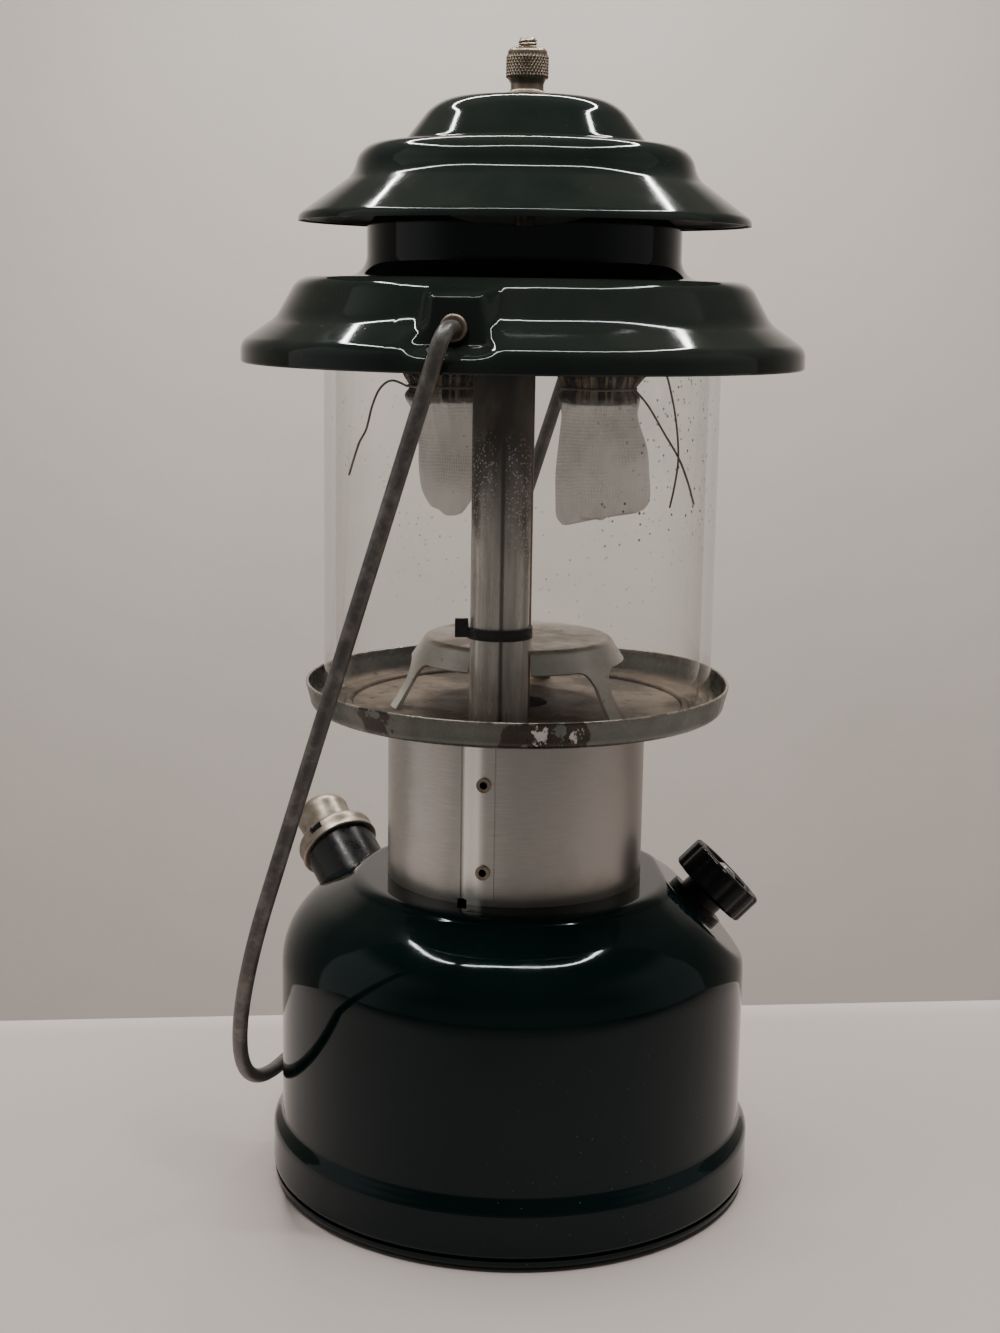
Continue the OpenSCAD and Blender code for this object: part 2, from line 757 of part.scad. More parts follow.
// mantles: a frill, a drawn-in tie and a bag that flattens towards its slanting hem
mantle_r = burner_r + mantle_slack + mantle_t;
function pleat(a, amount) = 1 + amount * cos(mantle_pleats * a);
function bag_row(row, side, slant, grow) = [for (i = [0 : mantle_sides - 1])
    let (a = i * 360 / mantle_sides,
        x = (row[1] * mantle_r - grow) * cos(a) * pleat(a, 0.02 * (1 - row[0])),
        y = (row[2] * mantle_r - grow) * sin(a) * pleat(a, 0.02 * (1 - row[0])),
        drift = side * row[3] * mantle_r)
    [x + drift, y, -row[0] * (mantle_l - grow) + slant * side * x * row[0] * row[0]]];
function neck_row(z, r, amount, grow) = [for (i = [0 : mantle_sides - 1])
    let (a = i * 360 / mantle_sides) concat((r - grow) * pleat(a, amount) * [cos(a), sin(a)], [z])];
function mantle_skin(side, slant, bag, grow) = concat(
    [neck_row(mantle_frill, mantle_r + 0.8, 0.06, grow),
        neck_row(tie_gap, mantle_r + 0.2, 0.018, grow),
        neck_row(0, mantle_r - groove_deep + 0.15, 0, grow),
        neck_row(-tie_gap, mantle_r + 0.2, 0.012, grow)],
    [for (row = bag) bag_row(row, side, slant, grow)]);
module mantle(side, slant, bag) {
    n = mantle_sides;
    outer = mantle_skin(side, slant, bag, 0);
    inner = mantle_skin(side, slant, bag, mantle_t);
    rows = len(outer);
    hem_o = [for (k = [0 : 2]) [for (p = outer[rows - 1]) p[k]] * [for (p = outer[0]) 1] / n];
    hem_i = [for (k = [0 : 2]) [for (p = inner[rows - 1]) p[k]] * [for (p = inner[0]) 1] / n];
    points = concat([for (row = outer, p = row) p], [for (row = inner, p = row) p],
        [hem_o - [0, 0, mantle_t / 2], hem_i]);
    base = rows * n;
    quads = [for (k = [0 : rows - 2], i = [0 : n - 1])
        let (j = (i + 1) % n) [k * n + i, k * n + j, (k + 1) * n + j, (k + 1) * n + i]];
    faces = concat(
        [for (q = quads) [q[0], q[1], q[2]]], [for (q = quads) [q[0], q[2], q[3]]],
        [for (q = quads) [base + q[2], base + q[1], base + q[0]]],
        [for (q = quads) [base + q[3], base + q[2], base + q[0]]],
        [for (i = [0 : n - 1]) let (j = (i + 1) % n) [base + i, base + j, j]],
        [for (i = [0 : n - 1]) let (j = (i + 1) % n) [base + i, j, i]],
        [for (i = [0 : n - 1]) let (j = (i + 1) % n) [base - n + i, base - n + j, 2 * base]],
        [for (i = [0 : n - 1]) let (j = (i + 1) % n) [2 * base - n + j, 2 * base - n + i, 2 * base + 1]]);
    translate([side * burner_x, 0, tie_z]) polyhedron(points, faces, convexity = 8);
}
module mantle_left() { color("#b8b2a6") mantle(-1, 0.04, rows_left); }
module mantle_right() { color("#b8b2a6") mantle(1, 0.2, rows_right); }
module mantle_ties() {
    color("#6e6252") for (s = [-1, 1]) translate([s * burner_x, 0, tie_z])
        rotate_extrude($fn = turn_fn) translate([mantle_r - groove_deep + tie_seat + tie_wire, 0])
            circle(r = tie_wire, $fn = 16);
}

// loose ends of the mantle ties: a tube swept along its route
string_r = 0.3;
string_sides = 8;
string_out = mantle_r - groove_deep + 0.3 + 2 * tie_wire + string_r;
route_left = [[0, 0, 0], [-4, -1.5, 1.5], [-7, -2, -0.5], [-9, -2.5, -5], [-10.5, -3, -11],
    [-12.5, -3, -15], [-15, -2.5, -23]];
route_front = [[0, 0, 0], [3.5, -1.5, -4], [7.5, -2.5, -10.5], [11.5, -3.5, -17], [14, -4, -23],
    [15.8, -4, -29]];
route_rear = [[0, 0, 0], [4, 3, 4], [8, 5, 4.5], [10.5, 6, -3], [12, 6.5, -11], [12.6, 6.5, -19],
    [11.8, 6, -26], [10.6, 5.5, -32]];
function unit(v) = v / norm(v);
function heading(p, i) = unit(p[min(i + 1, len(p) - 1)] - p[max(i - 1, 0)]);
module cord(path, r) {
    n = string_sides;
    m = len(path);
    points = [for (i = [0 : m - 1]) let (t = heading(path, i), u = unit(cross(t, [0.2, 1, 0.1])),
        v = cross(t, u)) for (k = [0 : n - 1]) path[i] + r * (cos(k * 360 / n) * u + sin(k * 360 / n) * v)];
    faces = concat(
        [for (i = [0 : m - 2], k = [0 : n - 1]) let (j = (k + 1) % n)
            [i * n + k, i * n + j, (i + 1) * n + j]],
        [for (i = [0 : m - 2], k = [0 : n - 1]) let (j = (k + 1) % n)
            [i * n + k, (i + 1) * n + j, (i + 1) * n + k]],
        [[for (k = [n - 1 : -1 : 0]) k]], [[for (k = [0 : n - 1]) (m - 1) * n + k]]);
    polyhedron(points, faces, convexity = 4);
}
function from_tie(side, az, route) = [for (p = route)
    [side * burner_x + string_out * cos(az) + p[0], string_out * sin(az) + p[1], tie_z + p[2]]];
module string_left() { color("#8d8272") cord(from_tie(-1, 205, route_left), string_r); }
module string_front() { color("#8d8272") cord(from_tie(1, -30, route_front), string_r); }
module string_rear() { color("#8d8272") cord(from_tie(1, 25, route_rear), string_r); }

module globe() {
    round_off = globe_wall / 3;
    color([0.9, 0.95, 0.95, 0.35]) rotate_extrude($fn = turn_fn)
        polygon([[globe_r - globe_wall, floor_z], [globe_r - round_off, floor_z],
            [globe_r, floor_z + round_off], [globe_r, globe_top - round_off],
            [globe_r - round_off, globe_top], [globe_r - globe_wall, globe_top]]);
}

// ventilator skirt: neck, shoulder, hollow side, flare and lip, moved inwards by o
function skirt_line(o) = concat(
    [[neck_r - o, land_z + (o > 0 ? 1 : 0)]],
    arc([neck_r + neck_round, vent_z + neck_round], neck_round + o, 180, 270, 5),
    arc([sh_r - sh_round, vent_z - sh_round], sh_round - o, 90, side_deg, 5),
    arc([hollow_x, hollow_z], hollow_r + o, 180 + side_deg, 180 + flare_deg, 3),
    arc([vent_r - lip_round, lip_z + lip_h], lip_round - o, flare_deg, 0, 4),
    [[vent_r - o, lip_z - (o > 0 ? 1 : 0)]],
    [[0, lip_z - (o > 0 ? 1 : 0)], [0, land_z + (o > 0 ? 1 : 0)]]);
module each_pad() {
    for (s = [0, 1]) rotate(-bail_turn - 90 + 180 * s) children();
}
module pad_face(r0, w0, r1, w1) {
    polygon([[r0, -w0 / 2], [r1, -w1 / 2], [r1, w1 / 2], [r0, w0 / 2]]);
}
module skirt_form(o) {
    face = pad_out - o;
    difference() {
        rotate_extrude($fn = turn_fn) polygon(skirt_line(o));
        each_pad() translate([0, 0, pad_low - o]) linear_extrude(pad_high - pad_low + 4)
            pad_face(face, pad_w + 2 * o, face + vent_r, pad_w + 2 * o + 2 * vent_r * pad_flank);
    }
    each_pad() translate([0, 0, pad_low]) linear_extrude(pad_high - pad_low - o)
        pad_face(face - pad_root, pad_w - 2 * o + 2 * pad_root * pad_flank, face, pad_w - 2 * o);
}
module window() {
    sag_r = (pow(neck_r * sin(window_deg / 2), 2) + window_sag * window_sag) / (2 * window_sag);
    rotate([90, 0, 0]) linear_extrude(2 * neck_r) intersection() {
        translate([-neck_r * sin(window_deg / 2), window_low])
            square([2 * neck_r * sin(window_deg / 2), window_top - window_low]);
        translate([0, window_low + sag_r]) circle(r = sag_r, $fn = 2 * turn_fn);
    }
}
// the neck and the skirt are one pressing, drawn as two nodes that meet on the flat shoulder
module vent_neck() {
    color("#10201c") difference() {
        intersection() {
            skirt_form(0);
            rod(neck_foot, lip_z, land_z + 1);
        }
        skirt_form(vent_t);
        for (a = [0 : 90 : 270]) rotate(a - 3) window();
    }
}
module vent_skirt() {
    color("#10201c") difference() {
        skirt_form(0);
        skirt_form(vent_t);
        rod(neck_foot, lip_z - 2, land_z + 2);
        each_pad() translate([0, 0, pivot_z]) rotate([0, 90, 0]) rod(eye_barrel, pad_out - 4, pad_out + 4);
    }
}

// ventilator cap: dome, tier and flare out to the upper brim, moved inwards by o
function cap_line(o) = concat(
    [[stud_hole, cap_top - o]],
    arc([dome_flat, cap_top - dome_round], dome_round - o, 90, dome_deg, 5),
    arc([crease_x, crease_z], crease_round + o, 180 + dome_deg, 265, 3),
    arc([tier_x, tier_z - tier_round], tier_round - o, 85, tier_deg, 5),
    arc([flare_x, flare_z], flare_round + o, 180 + tier_deg, 180 + brim_deg, 4),
    arc([brim_r - brim_round, brim_z + brim_drop], brim_round - o, brim_deg, 0, 3),
    [[brim_r - o, brim_z]]);
module vent_cap() {
    color("#10201c") union() {
        rotate_extrude($fn = turn_fn) polygon(concat(cap_line(0), flip(cap_line(vent_t))));
        rotate_extrude($fn = turn_fn) polygon([[neck_r - 3 * vent_t, land_z],
            [neck_r + vent_t / 2, land_z], [neck_r + vent_t / 2, land_z + vent_t / 2],
            [neck_r - vent_t, tier_z - vent_t / 2], [neck_r - 3 * vent_t, tier_z - vent_t / 2]]);
    }
}

// bail: a hoop with straight legs whose ends turn in through the eyelets
module bail_eyelets() {
    back = pad_out - vent_t;
    color("#c9c3b6") each_pad() translate([0, 0, pivot_z]) rotate([0, 90, 0])
        rotate_extrude($fn = round_fn) polygon([[eye_bore, back - 1], [eye_barrel + 0.6, back - 1],
            [eye_barrel + 0.6, back], [eye_barrel, back], [eye_barrel, pad_out], [eye_r, pad_out],
            [eye_r, pad_out + eye_t / 2], [eye_r - eye_t / 2, pad_out + eye_t],
            [eye_bore, pad_out + eye_t]]);
}
module bail_half() {
    rotate([0, 90, 0]) rod(wire_r, bail_end, bail_s - bail_bend);
    translate([bail_s - bail_bend, 0, -bail_bend]) rotate([90, 0, 0]) quarter_bend(bail_bend, wire_r);
    translate([bail_s, 0, 0]) rod(wire_r, -bail_l + bail_s, -bail_bend);
    translate([0, 0, -bail_l + bail_s]) rotate([-90, 0, 0]) quarter_bend(bail_s, wire_r);
}
module bail() {
    color("#26262a") translate([0, 0, pivot_z]) rotate(-bail_turn - 90) rotate([-bail_hang, 0, 0]) {
        bail_half();
        mirror([1, 0, 0]) bail_half();
    }
}

// stud and ball nut
module stud() {
    color("#8f8c84") {
        translate([0, 0, man_z + man_h]) cylinder(r = stud_r + 2, h = stud_foot, $fn = 6);
        rod(stud_r, man_z + man_h + stud_foot, stud_top);
    }
}
module ball_insert() {
    color("#b8964e") pipe(ball_bore - run_fit, insert_bore, cap_top, ball_z + ball_cut - 1);
}
module ball_nut() {
    color("#8f8c84") rotate_extrude($fn = turn_fn) polygon(concat(
        [[ball_bore, cap_top], [ball_r, cap_top], [ball_r, cap_top + ball_flange / 2],
            [ball_neck, cap_top + ball_flange]],
        arc([0, ball_z], ball_r, -acos(ball_neck / ball_r), asin(ball_cut / ball_r), 10),
        [[ball_bore, ball_z + ball_cut]]));
}

fount_shell();
fount_base();
filler_neck();
filler_gasket();
filler_cap();
pump_barrel();
pump_cap();
pump_rod();
pump_knob();
pump_cup();
pump_check_valve();
valve_body();
valve_bonnet();
valve_stem();
valve_knob();
valve_screw();
pickup_tube();
fuel_pipe();
collar();
collar_rivets();
globe_tray();
heat_shield();
air_tube();
tube_clip();
generator_block();
generator_nut();
generator_tube();
generator_needle();
gas_tip();
manifold();
burner_caps();
burner_screens();
mantle_left();
mantle_right();
mantle_ties();
string_left();
string_front();
string_rear();
globe();
vent_neck();
vent_skirt();
vent_cap();
bail_eyelets();
bail();
stud();
ball_insert();
ball_nut();
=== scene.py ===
import bisect
import bpy
import bmesh
from math import atan2, copysign, cos, degrees, exp, hypot, pi, radians, sin, sqrt
from mathutils import Matrix, Vector


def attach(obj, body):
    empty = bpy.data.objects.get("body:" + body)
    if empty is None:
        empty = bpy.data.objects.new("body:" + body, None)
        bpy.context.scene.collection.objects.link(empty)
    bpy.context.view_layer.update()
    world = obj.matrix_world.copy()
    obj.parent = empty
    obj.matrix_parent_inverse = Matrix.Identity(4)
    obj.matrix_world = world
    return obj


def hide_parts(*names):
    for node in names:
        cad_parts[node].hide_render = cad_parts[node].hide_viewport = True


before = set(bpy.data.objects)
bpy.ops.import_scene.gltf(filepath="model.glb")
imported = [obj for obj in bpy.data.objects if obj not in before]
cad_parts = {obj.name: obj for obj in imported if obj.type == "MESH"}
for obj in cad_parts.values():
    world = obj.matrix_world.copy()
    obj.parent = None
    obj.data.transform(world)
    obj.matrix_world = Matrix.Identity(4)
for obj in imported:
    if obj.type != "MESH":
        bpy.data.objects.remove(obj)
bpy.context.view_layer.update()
mm = 0.001
detail = 1.0


# helpers for profiles and meshes
def arc(cx, cz, r, a0, a1, n):
    n = max(3, int(n * detail))
    turns = [radians(a0 + (a1 - a0) * i / n) for i in range(n + 1)]
    return [(cx + r * cos(t), cz + r * sin(t)) for t in turns]


def finishMesh(obj, finish, body, nodes, angle):
    me = obj.data
    me.polygons.foreach_set("use_smooth", [True] * len(me.polygons))
    me.set_sharp_from_angle(angle=radians(angle))
    me.materials.clear()
    me.materials.append(mats[finish])
    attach(obj, body)
    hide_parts(*nodes)
    return obj


def linkObject(name, data):
    obj = bpy.data.objects.new(name, data)
    bpy.context.scene.collection.objects.link(obj)
    return obj


def editMesh(me, change):
    bm = bmesh.new()
    bm.from_mesh(me)
    change(bm)
    bm.to_mesh(me)
    bm.free()


def turnOut(bm):
    bmesh.ops.recalc_face_normals(bm, faces=bm.faces)


def closeSeams(bm):
    bmesh.ops.remove_doubles(bm, verts=bm.verts, dist=1e-6)
    bmesh.ops.dissolve_degenerate(bm, edges=bm.edges, dist=1e-7)
    turnOut(bm)


def meshObject(name, verts, faces):
    me = bpy.data.meshes.new(name)
    me.from_pydata([tuple(v) for v in verts], [], faces)
    editMesh(me, closeSeams)
    return linkObject(name, me)


def prism(name, lower, upper):  # two outlines joined by flat sides
    m = len(lower)
    sides = [(i, (i + 1) % m, m + (i + 1) % m, m + i) for i in range(m)]
    return meshObject(name, lower + upper, sides + [tuple(range(m))[::-1], tuple(range(m, 2 * m))])


def lathe(name, profile, steps=160, place=None, shape=None, close=True, angles=None):
    steps = len(angles) if angles else max(24, int(steps * detail))
    verts, faces, n = [], [], len(profile)
    for i in range(steps):
        a = angles[i] if angles else 2 * pi * i / steps
        for r, z in profile:
            p = Vector((r * cos(a), r * sin(a), z))
            if shape:
                p = shape(p)
            verts.append((place @ p if place else p) * mm)
    for i in range(steps):
        j = (i + 1) % steps
        for k in range(n if close else n - 1):
            m = (k + 1) % n
            faces.append((i * n + k, j * n + k, j * n + m, i * n + m))
    return meshObject(name, verts, faces)


def densify(profile, step):
    out = []
    for (r0, z0), (r1, z1) in zip(profile, profile[1:]):
        n = max(1, int(hypot(r1 - r0, z1 - z0) / step))
        out += [(r0 + (r1 - r0) * i / n, z0 + (z1 - z0) * i / n) for i in range(n)]
    return out + [profile[-1]]


def smoothStep(lo, hi, v):
    t = min(1.0, max(0.0, (v - lo) / (hi - lo)))
    return t * t * (3 - 2 * t)


def leanPlace(at, tilt, az, swing=0.0):
    return (Matrix.Rotation(radians(az), 4, "Z") @ Matrix.Translation((at[0], 0, at[1]))
            @ Matrix.Rotation(radians(swing), 4, "Z") @ Matrix.Rotation(radians(tilt), 4, "Y"))


def bake(obj):  # turns a modified object into a plain mesh
    bpy.context.view_layer.update()
    made = bpy.data.meshes.new_from_object(obj.evaluated_get(bpy.context.evaluated_depsgraph_get()))
    obj.modifiers.clear()
    if obj.type == "MESH":
        obj.data = made
        return obj
    name = obj.name
    bpy.data.objects.remove(obj)
    return linkObject(name, made)


def mathPair(op):  # an operator and its reflected form
    return (lambda a, b: a.math(op, a, b)), (lambda a, b: a.math(op, b, a))


# one wrapper for node sockets: sums, products and any other node
class Wire:
    def __init__(self, tree, out=None):
        self.tree, self.out = tree, out

    def node(self, kind, ins=None, out=0, **props):
        n = self.tree.nodes.new("ShaderNode" + kind)
        for k, v in props.items():
            setattr(n, k, v)
        for k, v in (ins or {}).items():
            if isinstance(v, Wire):
                self.tree.links.new(v.out, n.inputs[k])
            else:
                n.inputs[k].default_value = v
        return Wire(self.tree, n.outputs[out])

    def math(self, op, a, b=0.0):
        return self.node("Math", {0: a, 1: b}, operation=op)

    __add__, __radd__ = mathPair("ADD")
    __sub__, __rsub__ = mathPair("SUBTRACT")
    __mul__, __rmul__ = mathPair("MULTIPLY")
    __truediv__, __rtruediv__ = mathPair("DIVIDE")
    __pow__, __rpow__ = mathPair("POWER")

    def __neg__(self):
        return self * -1.0

    def clamp(self):
        return self.node("Clamp", {0: self})

    def ramp(self, lo, hi, to0=0.0, to1=1.0):  # smooth change between two values
        return self.node("MapRange", {0: self, 1: lo, 2: hi, 3: to0, 4: to1}, interpolation_type="SMOOTHSTEP")

    def mix(self, a, b):  # colours a to b by this value
        return self.node("Mix", {0: self, 6: a, 7: b}, out=2, data_type="RGBA")

    def axis(self, i):
        return self.node("SeparateXYZ", {0: self}, out=i)

    def stretch(self, x, y, z):
        return self.node("VectorMath", {0: self, 1: (x, y, z)}, operation="MULTIPLY")

    def noise(self, scale, fine=3.0, rough=0.5):
        return self.node("TexNoise", {"Vector": self, "Scale": scale, "Detail": fine, "Roughness": rough})

    def specks(self, scale, size):  # small spots, 1 inside each
        return self.node("TexVoronoi", {"Vector": self, "Scale": scale}).ramp(size, size * 0.5)

    def bump(self, strength, distance):
        return self.node("Bump", {"Strength": strength, "Distance": distance, "Height": self})


def rgb(r, g, b):
    return (r, g, b, 1.0)


def blankMaterial(name):
    mat = bpy.data.materials.new(name)
    mat.use_nodes = True
    tree = mat.node_tree
    bsdf = next(n for n in tree.nodes if n.type == "BSDF_PRINCIPLED")
    return mat, tree, bsdf, Wire(tree).node("TexCoord", out="Object")


def material(name, build, **fixed):
    mat, tree, bsdf, place = blankMaterial(name)
    for k, v in fixed.items():
        bsdf.inputs[k.replace("_", " ")].default_value = v
    for k, v in build(place).items():
        tree.links.new(v.out, bsdf.inputs[k])
    return mat


# one grain gives the colour, the roughness and the bump
def grainLook(grain, span, first, second, rough, bump):
    return {"Base Color": grain.ramp(*span).mix(first, second), "Roughness": grain.ramp(*rough),
            "Normal": grain.bump(*bump)}


def enamelLook(p):
    cloud, rub = p.noise(22.0, 4.0), p.noise(70.0, 6.0, 0.65)
    patchy = p.noise(14.0, 5.0, 0.6).ramp(0.3, 0.7, 0.25, 1.0)
    film = p.axis(2).ramp(0.2, 0.21) * patchy  # dust lies on the ventilator
    dust = p.specks(420.0, 0.07) * p.noise(9.0).ramp(0.5, 0.7)
    base = cloud.ramp(0.35, 0.7).mix(rgb(0.0010, 0.0056, 0.0054), rgb(0.0016, 0.0084, 0.0076))
    base = (film * 0.75).mix(base, rgb(0.024, 0.027, 0.022))
    peel = p.noise(260.0, 2.0).bump(0.012, 0.0006)
    return {"Base Color": dust.mix(base, rgb(0.16, 0.16, 0.15)),
            "Roughness": rub.ramp(0.45, 0.8, 0.06, 0.15) + dust * 0.4, "Normal": peel}


def hoodInsideLook(p):
    return grainLook(p.noise(60.0, 5.0, 0.6), (0.3, 0.7), rgb(0.004, 0.004, 0.004), rgb(0.02, 0.018, 0.016),
                     rough=(0.3, 0.8, 0.3, 0.6), bump=(0.1, 0.0004))


def nickelLook(p):
    tarnish = p.noise(140.0, 6.0, 0.6)
    pits = p.specks(900.0, 0.16) * p.noise(60.0).ramp(0.5, 0.65)
    base = tarnish.ramp(0.35, 0.75).mix(rgb(0.44, 0.39, 0.325), rgb(0.22, 0.18, 0.135))
    return {"Base Color": pits.mix(base, rgb(0.07, 0.055, 0.04)),
            "Roughness": tarnish.ramp(0.3, 0.8, 0.36, 0.54) + pits * 0.2,
            "Normal": (tarnish - pits).bump(0.08, 0.0003)}


def dullSteelLook(p):
    return grainLook(p.noise(260.0, 6.0, 0.65), (0.35, 0.7), rgb(0.34, 0.29, 0.23), rgb(0.15, 0.115, 0.08),
                     rough=(0.3, 0.8, 0.28, 0.5), bump=(0.12, 0.0002))


def steelLook(p):
    streak = p.stretch(1.0, 1.0, 0.08).noise(1500.0, 3.0)
    return grainLook(streak, (0.3, 0.7), rgb(0.42, 0.42, 0.41), rgb(0.56, 0.55, 0.53),
                     rough=(0.3, 0.7, 0.22, 0.36), bump=(0.05, 0.0002))


def brassLook(p):
    return grainLook(p.noise(120.0, 5.0, 0.6), (0.35, 0.7), rgb(0.52, 0.36, 0.13), rgb(0.28, 0.17, 0.07),
                     rough=(0.3, 0.8, 0.24, 0.48), bump=(0.06, 0.0003))


def brownBrassLook(p):
    stain = p.stretch(1.0, 1.0, 0.25).noise(160.0, 5.0, 0.6)
    hot = p.axis(2).ramp(0.15, 0.22)
    base = stain.ramp(0.3, 0.7).mix(rgb(0.30, 0.16, 0.06), rgb(0.17, 0.09, 0.04))
    return {"Base Color": hot.mix(base, rgb(0.06, 0.045, 0.035)),
            "Roughness": stain.ramp(0.3, 0.8, 0.35, 0.6), "Normal": stain.bump(0.08, 0.0003)}


def collarLook(p):
    turn = p.math("ARCTAN2", p.axis(0), -p.axis(1))  # 0 at the front
    sweep = p.node("CombineXYZ", {0: turn * 0.02, 1: p.axis(2), 2: 0.0})
    line = sweep.stretch(1.0, 14.0, 1.0).noise(240.0, 4.0, 0.7)
    blotch = p.noise(36.0, 5.0, 0.6)
    strip = turn.ramp(-0.42, -0.4) * turn.ramp(-0.2, -0.29)  # painted highlight: a near-white band on the lap beside the seam
    lap = turn.ramp(-0.42, -0.22, 0.0, 0.0027)  # the lap leans a little to the left
    # painted shade: darker from the front middle round to the right side
    paintedShade = turn.ramp(-0.25, 0.05, 0.0, 0.6) * turn.ramp(2.2, 1.5) + turn.ramp(0.4, 1.0, 0.0, 0.4)
    base = line.ramp(0.3, 0.75).mix(rgb(0.53, 0.515, 0.49), rgb(0.68, 0.665, 0.63))
    base = (paintedShade * 0.85).mix(base, rgb(0.38, 0.355, 0.33))
    # the painted highlight on the lap
    base = (strip * 0.95).mix(base, rgb(0.95, 0.96, 0.90))
    # grey blotches, and darker towards the bottom edge of the collar
    blotchesAndLowBand = blotch.ramp(0.5, 0.78) * 0.4 + p.axis(2).ramp(0.094, 0.0865) * blotch.ramp(0.3, 0.6) * 0.5
    return {"Base Color": blotchesAndLowBand.mix(base, rgb(0.30, 0.27, 0.235)), "Metallic": 0.75 + strip * 0.1,
            "Roughness": line.ramp(0.3, 0.8, 0.26, 0.4) + blotch * 0.06,
            "Normal": (line * 0.00001 + lap).bump(1.0, 1.0)}


def trayLook(p):
    x, y, z = p.axis(0), p.axis(1), p.axis(2)
    floor = p.math("SQRT", x * x + y * y).ramp(0.0546, 0.0536) * z.ramp(0.1313, 0.1316)
    blot, wear, smear = p.noise(48.0, 6.0, 0.62), p.noise(240.0, 5.0, 0.65), p.noise(27.0, 6.0, 0.7)

    def near(at, far, close):
        return p.node("VectorMath", {0: p, 1: at}, out="Value", operation="DISTANCE").ramp(far, close)

    spot = near((0.006, -0.0558, 0.1345), 0.0062, 0.0) + near((0.0145, -0.0545, 0.135), 0.005, 0.0)
    chip = (spot * 0.5 + p.noise(560.0, 4.0, 0.7)).ramp(0.86, 0.9)  # paint gone down to bright metal
    rustAndLowBand = near((-0.0345, -0.0442, 0.1345), 0.010, 0.004) + near((0.0015, -0.056, 0.1335), 0.009, 0.003)
    rustAndLowBand = rustAndLowBand + near((0.012, -0.055, 0.134), 0.010, 0.004)
    # rust patches, and darker along the bottom of the rim and underneath
    rustAndLowBand = (rustAndLowBand * 0.3 + wear).ramp(0.72, 0.77) + z.ramp(0.1324, 0.1311) * smear.ramp(0.4, 0.6) * 0.7
    edge = z.ramp(0.1374, 0.1381) * wear.ramp(0.3, 0.6)
    paint = blot.ramp(0.3, 0.75).mix(rgb(0.095, 0.108, 0.092), rgb(0.165, 0.175, 0.15))
    paint = (edge * 0.7).mix(paint, rgb(0.42, 0.36, 0.29))
    rusty = wear.ramp(0.35, 0.6).mix(rgb(0.016, 0.014, 0.012), rgb(0.04, 0.03, 0.021))
    paint = rustAndLowBand.clamp().mix(paint, rusty)
    paint = chip.mix(paint, rgb(0.62, 0.61, 0.57))
    tan = blot.ramp(0.3, 0.72).mix(rgb(0.35, 0.262, 0.185), rgb(0.17, 0.115, 0.072))
    tan = (smear.ramp(0.45, 0.58) * 0.85).mix(tan, rgb(0.07, 0.042, 0.023))
    tan = (p.specks(190.0, 0.2) * blot.ramp(0.42, 0.55)).mix(tan, rgb(0.045, 0.034, 0.027))
    return {"Base Color": floor.mix(paint, tan), "Metallic": (1.0 - floor) * 0.4,
            "Roughness": wear.ramp(0.3, 0.8, 0.2, 0.42) + floor * 0.28,
            "Normal": (wear * 0.4 - chip).bump(0.2, 0.0003)}


def shieldLook(p):
    stain, grain = p.noise(55.0, 6.0, 0.62), p.noise(700.0, 4.0, 0.65)
    top = p.axis(2).ramp(0.1484, 0.1496)
    base = grain.ramp(0.3, 0.7).mix(rgb(0.90, 0.865, 0.79), rgb(0.97, 0.945, 0.885))
    base = (top * 0.5).mix(base, rgb(0.52, 0.43, 0.33))
    base = (stain.ramp(0.36, 0.62) * (0.18 + top * 0.72)).mix(base, rgb(0.33, 0.24, 0.16))
    spot = p.specks(260.0, 0.14) * p.noise(40.0).ramp(0.48, 0.62) * (0.3 + top * 0.7)
    return {"Base Color": spot.mix(base, rgb(0.10, 0.075, 0.055)),
            "Roughness": stain.ramp(0.3, 0.8, 0.3, 0.46), "Normal": grain.bump(0.16, 0.0002)}


# air tube: where it stands, and half the width of the slot for it in the heat shield
airTube = {"at": (-4.70, -25.37), "slot": 8.3}


def tubeLook(p):
    x, y, z = p.axis(0), p.axis(1), p.axis(2)
    streak = p.stretch(1.0, 1.0, 0.07).noise(420.0, 5.0, 0.6)
    cloud = p.stretch(1.0, 1.0, 0.5).noise(95.0, 5.0, 0.6)
    off = p.math("ABSOLUTE", x - airTube["at"][0] * mm)  # distance from the middle line
    soot = (z + (cloud - 0.5) * 0.04).ramp(0.168, 0.204)
    brown = off.ramp(0.0042, 0.0062) * z.ramp(0.15, 0.19) * cloud.ramp(0.35, 0.6)
    flake = (p.specks(1150.0, 0.36) * off.ramp(0.0006, 0.0018)
             * (z + (cloud - 0.5) * 0.05).ramp(0.146, 0.165) * z.ramp(0.209, 0.196))
    seam = p.math("ABSOLUTE", x + 0.0042).ramp(0.0008, 0.0002) * y.ramp(-0.0253, -0.0263)
    base = streak.ramp(0.3, 0.72).mix(rgb(0.84, 0.81, 0.76), rgb(0.50, 0.47, 0.43))
    base = soot.mix(base, cloud.ramp(0.4, 0.65).mix(rgb(0.016, 0.013, 0.011), rgb(0.085, 0.071, 0.056)))
    base = (brown * 0.8).mix(base, rgb(0.055, 0.032, 0.017))
    base = (flake * 0.9).mix(base, rgb(0.66, 0.63, 0.57))
    return {"Base Color": (seam * 0.8).mix(base, rgb(0.02, 0.017, 0.015)), "Metallic": 0.5 - soot * 0.4,
            "Roughness": streak.ramp(0.3, 0.8, 0.24, 0.38) + soot * 0.25,
            "Normal": (streak * 0.3 + flake - seam).bump(0.25, 0.0003)}


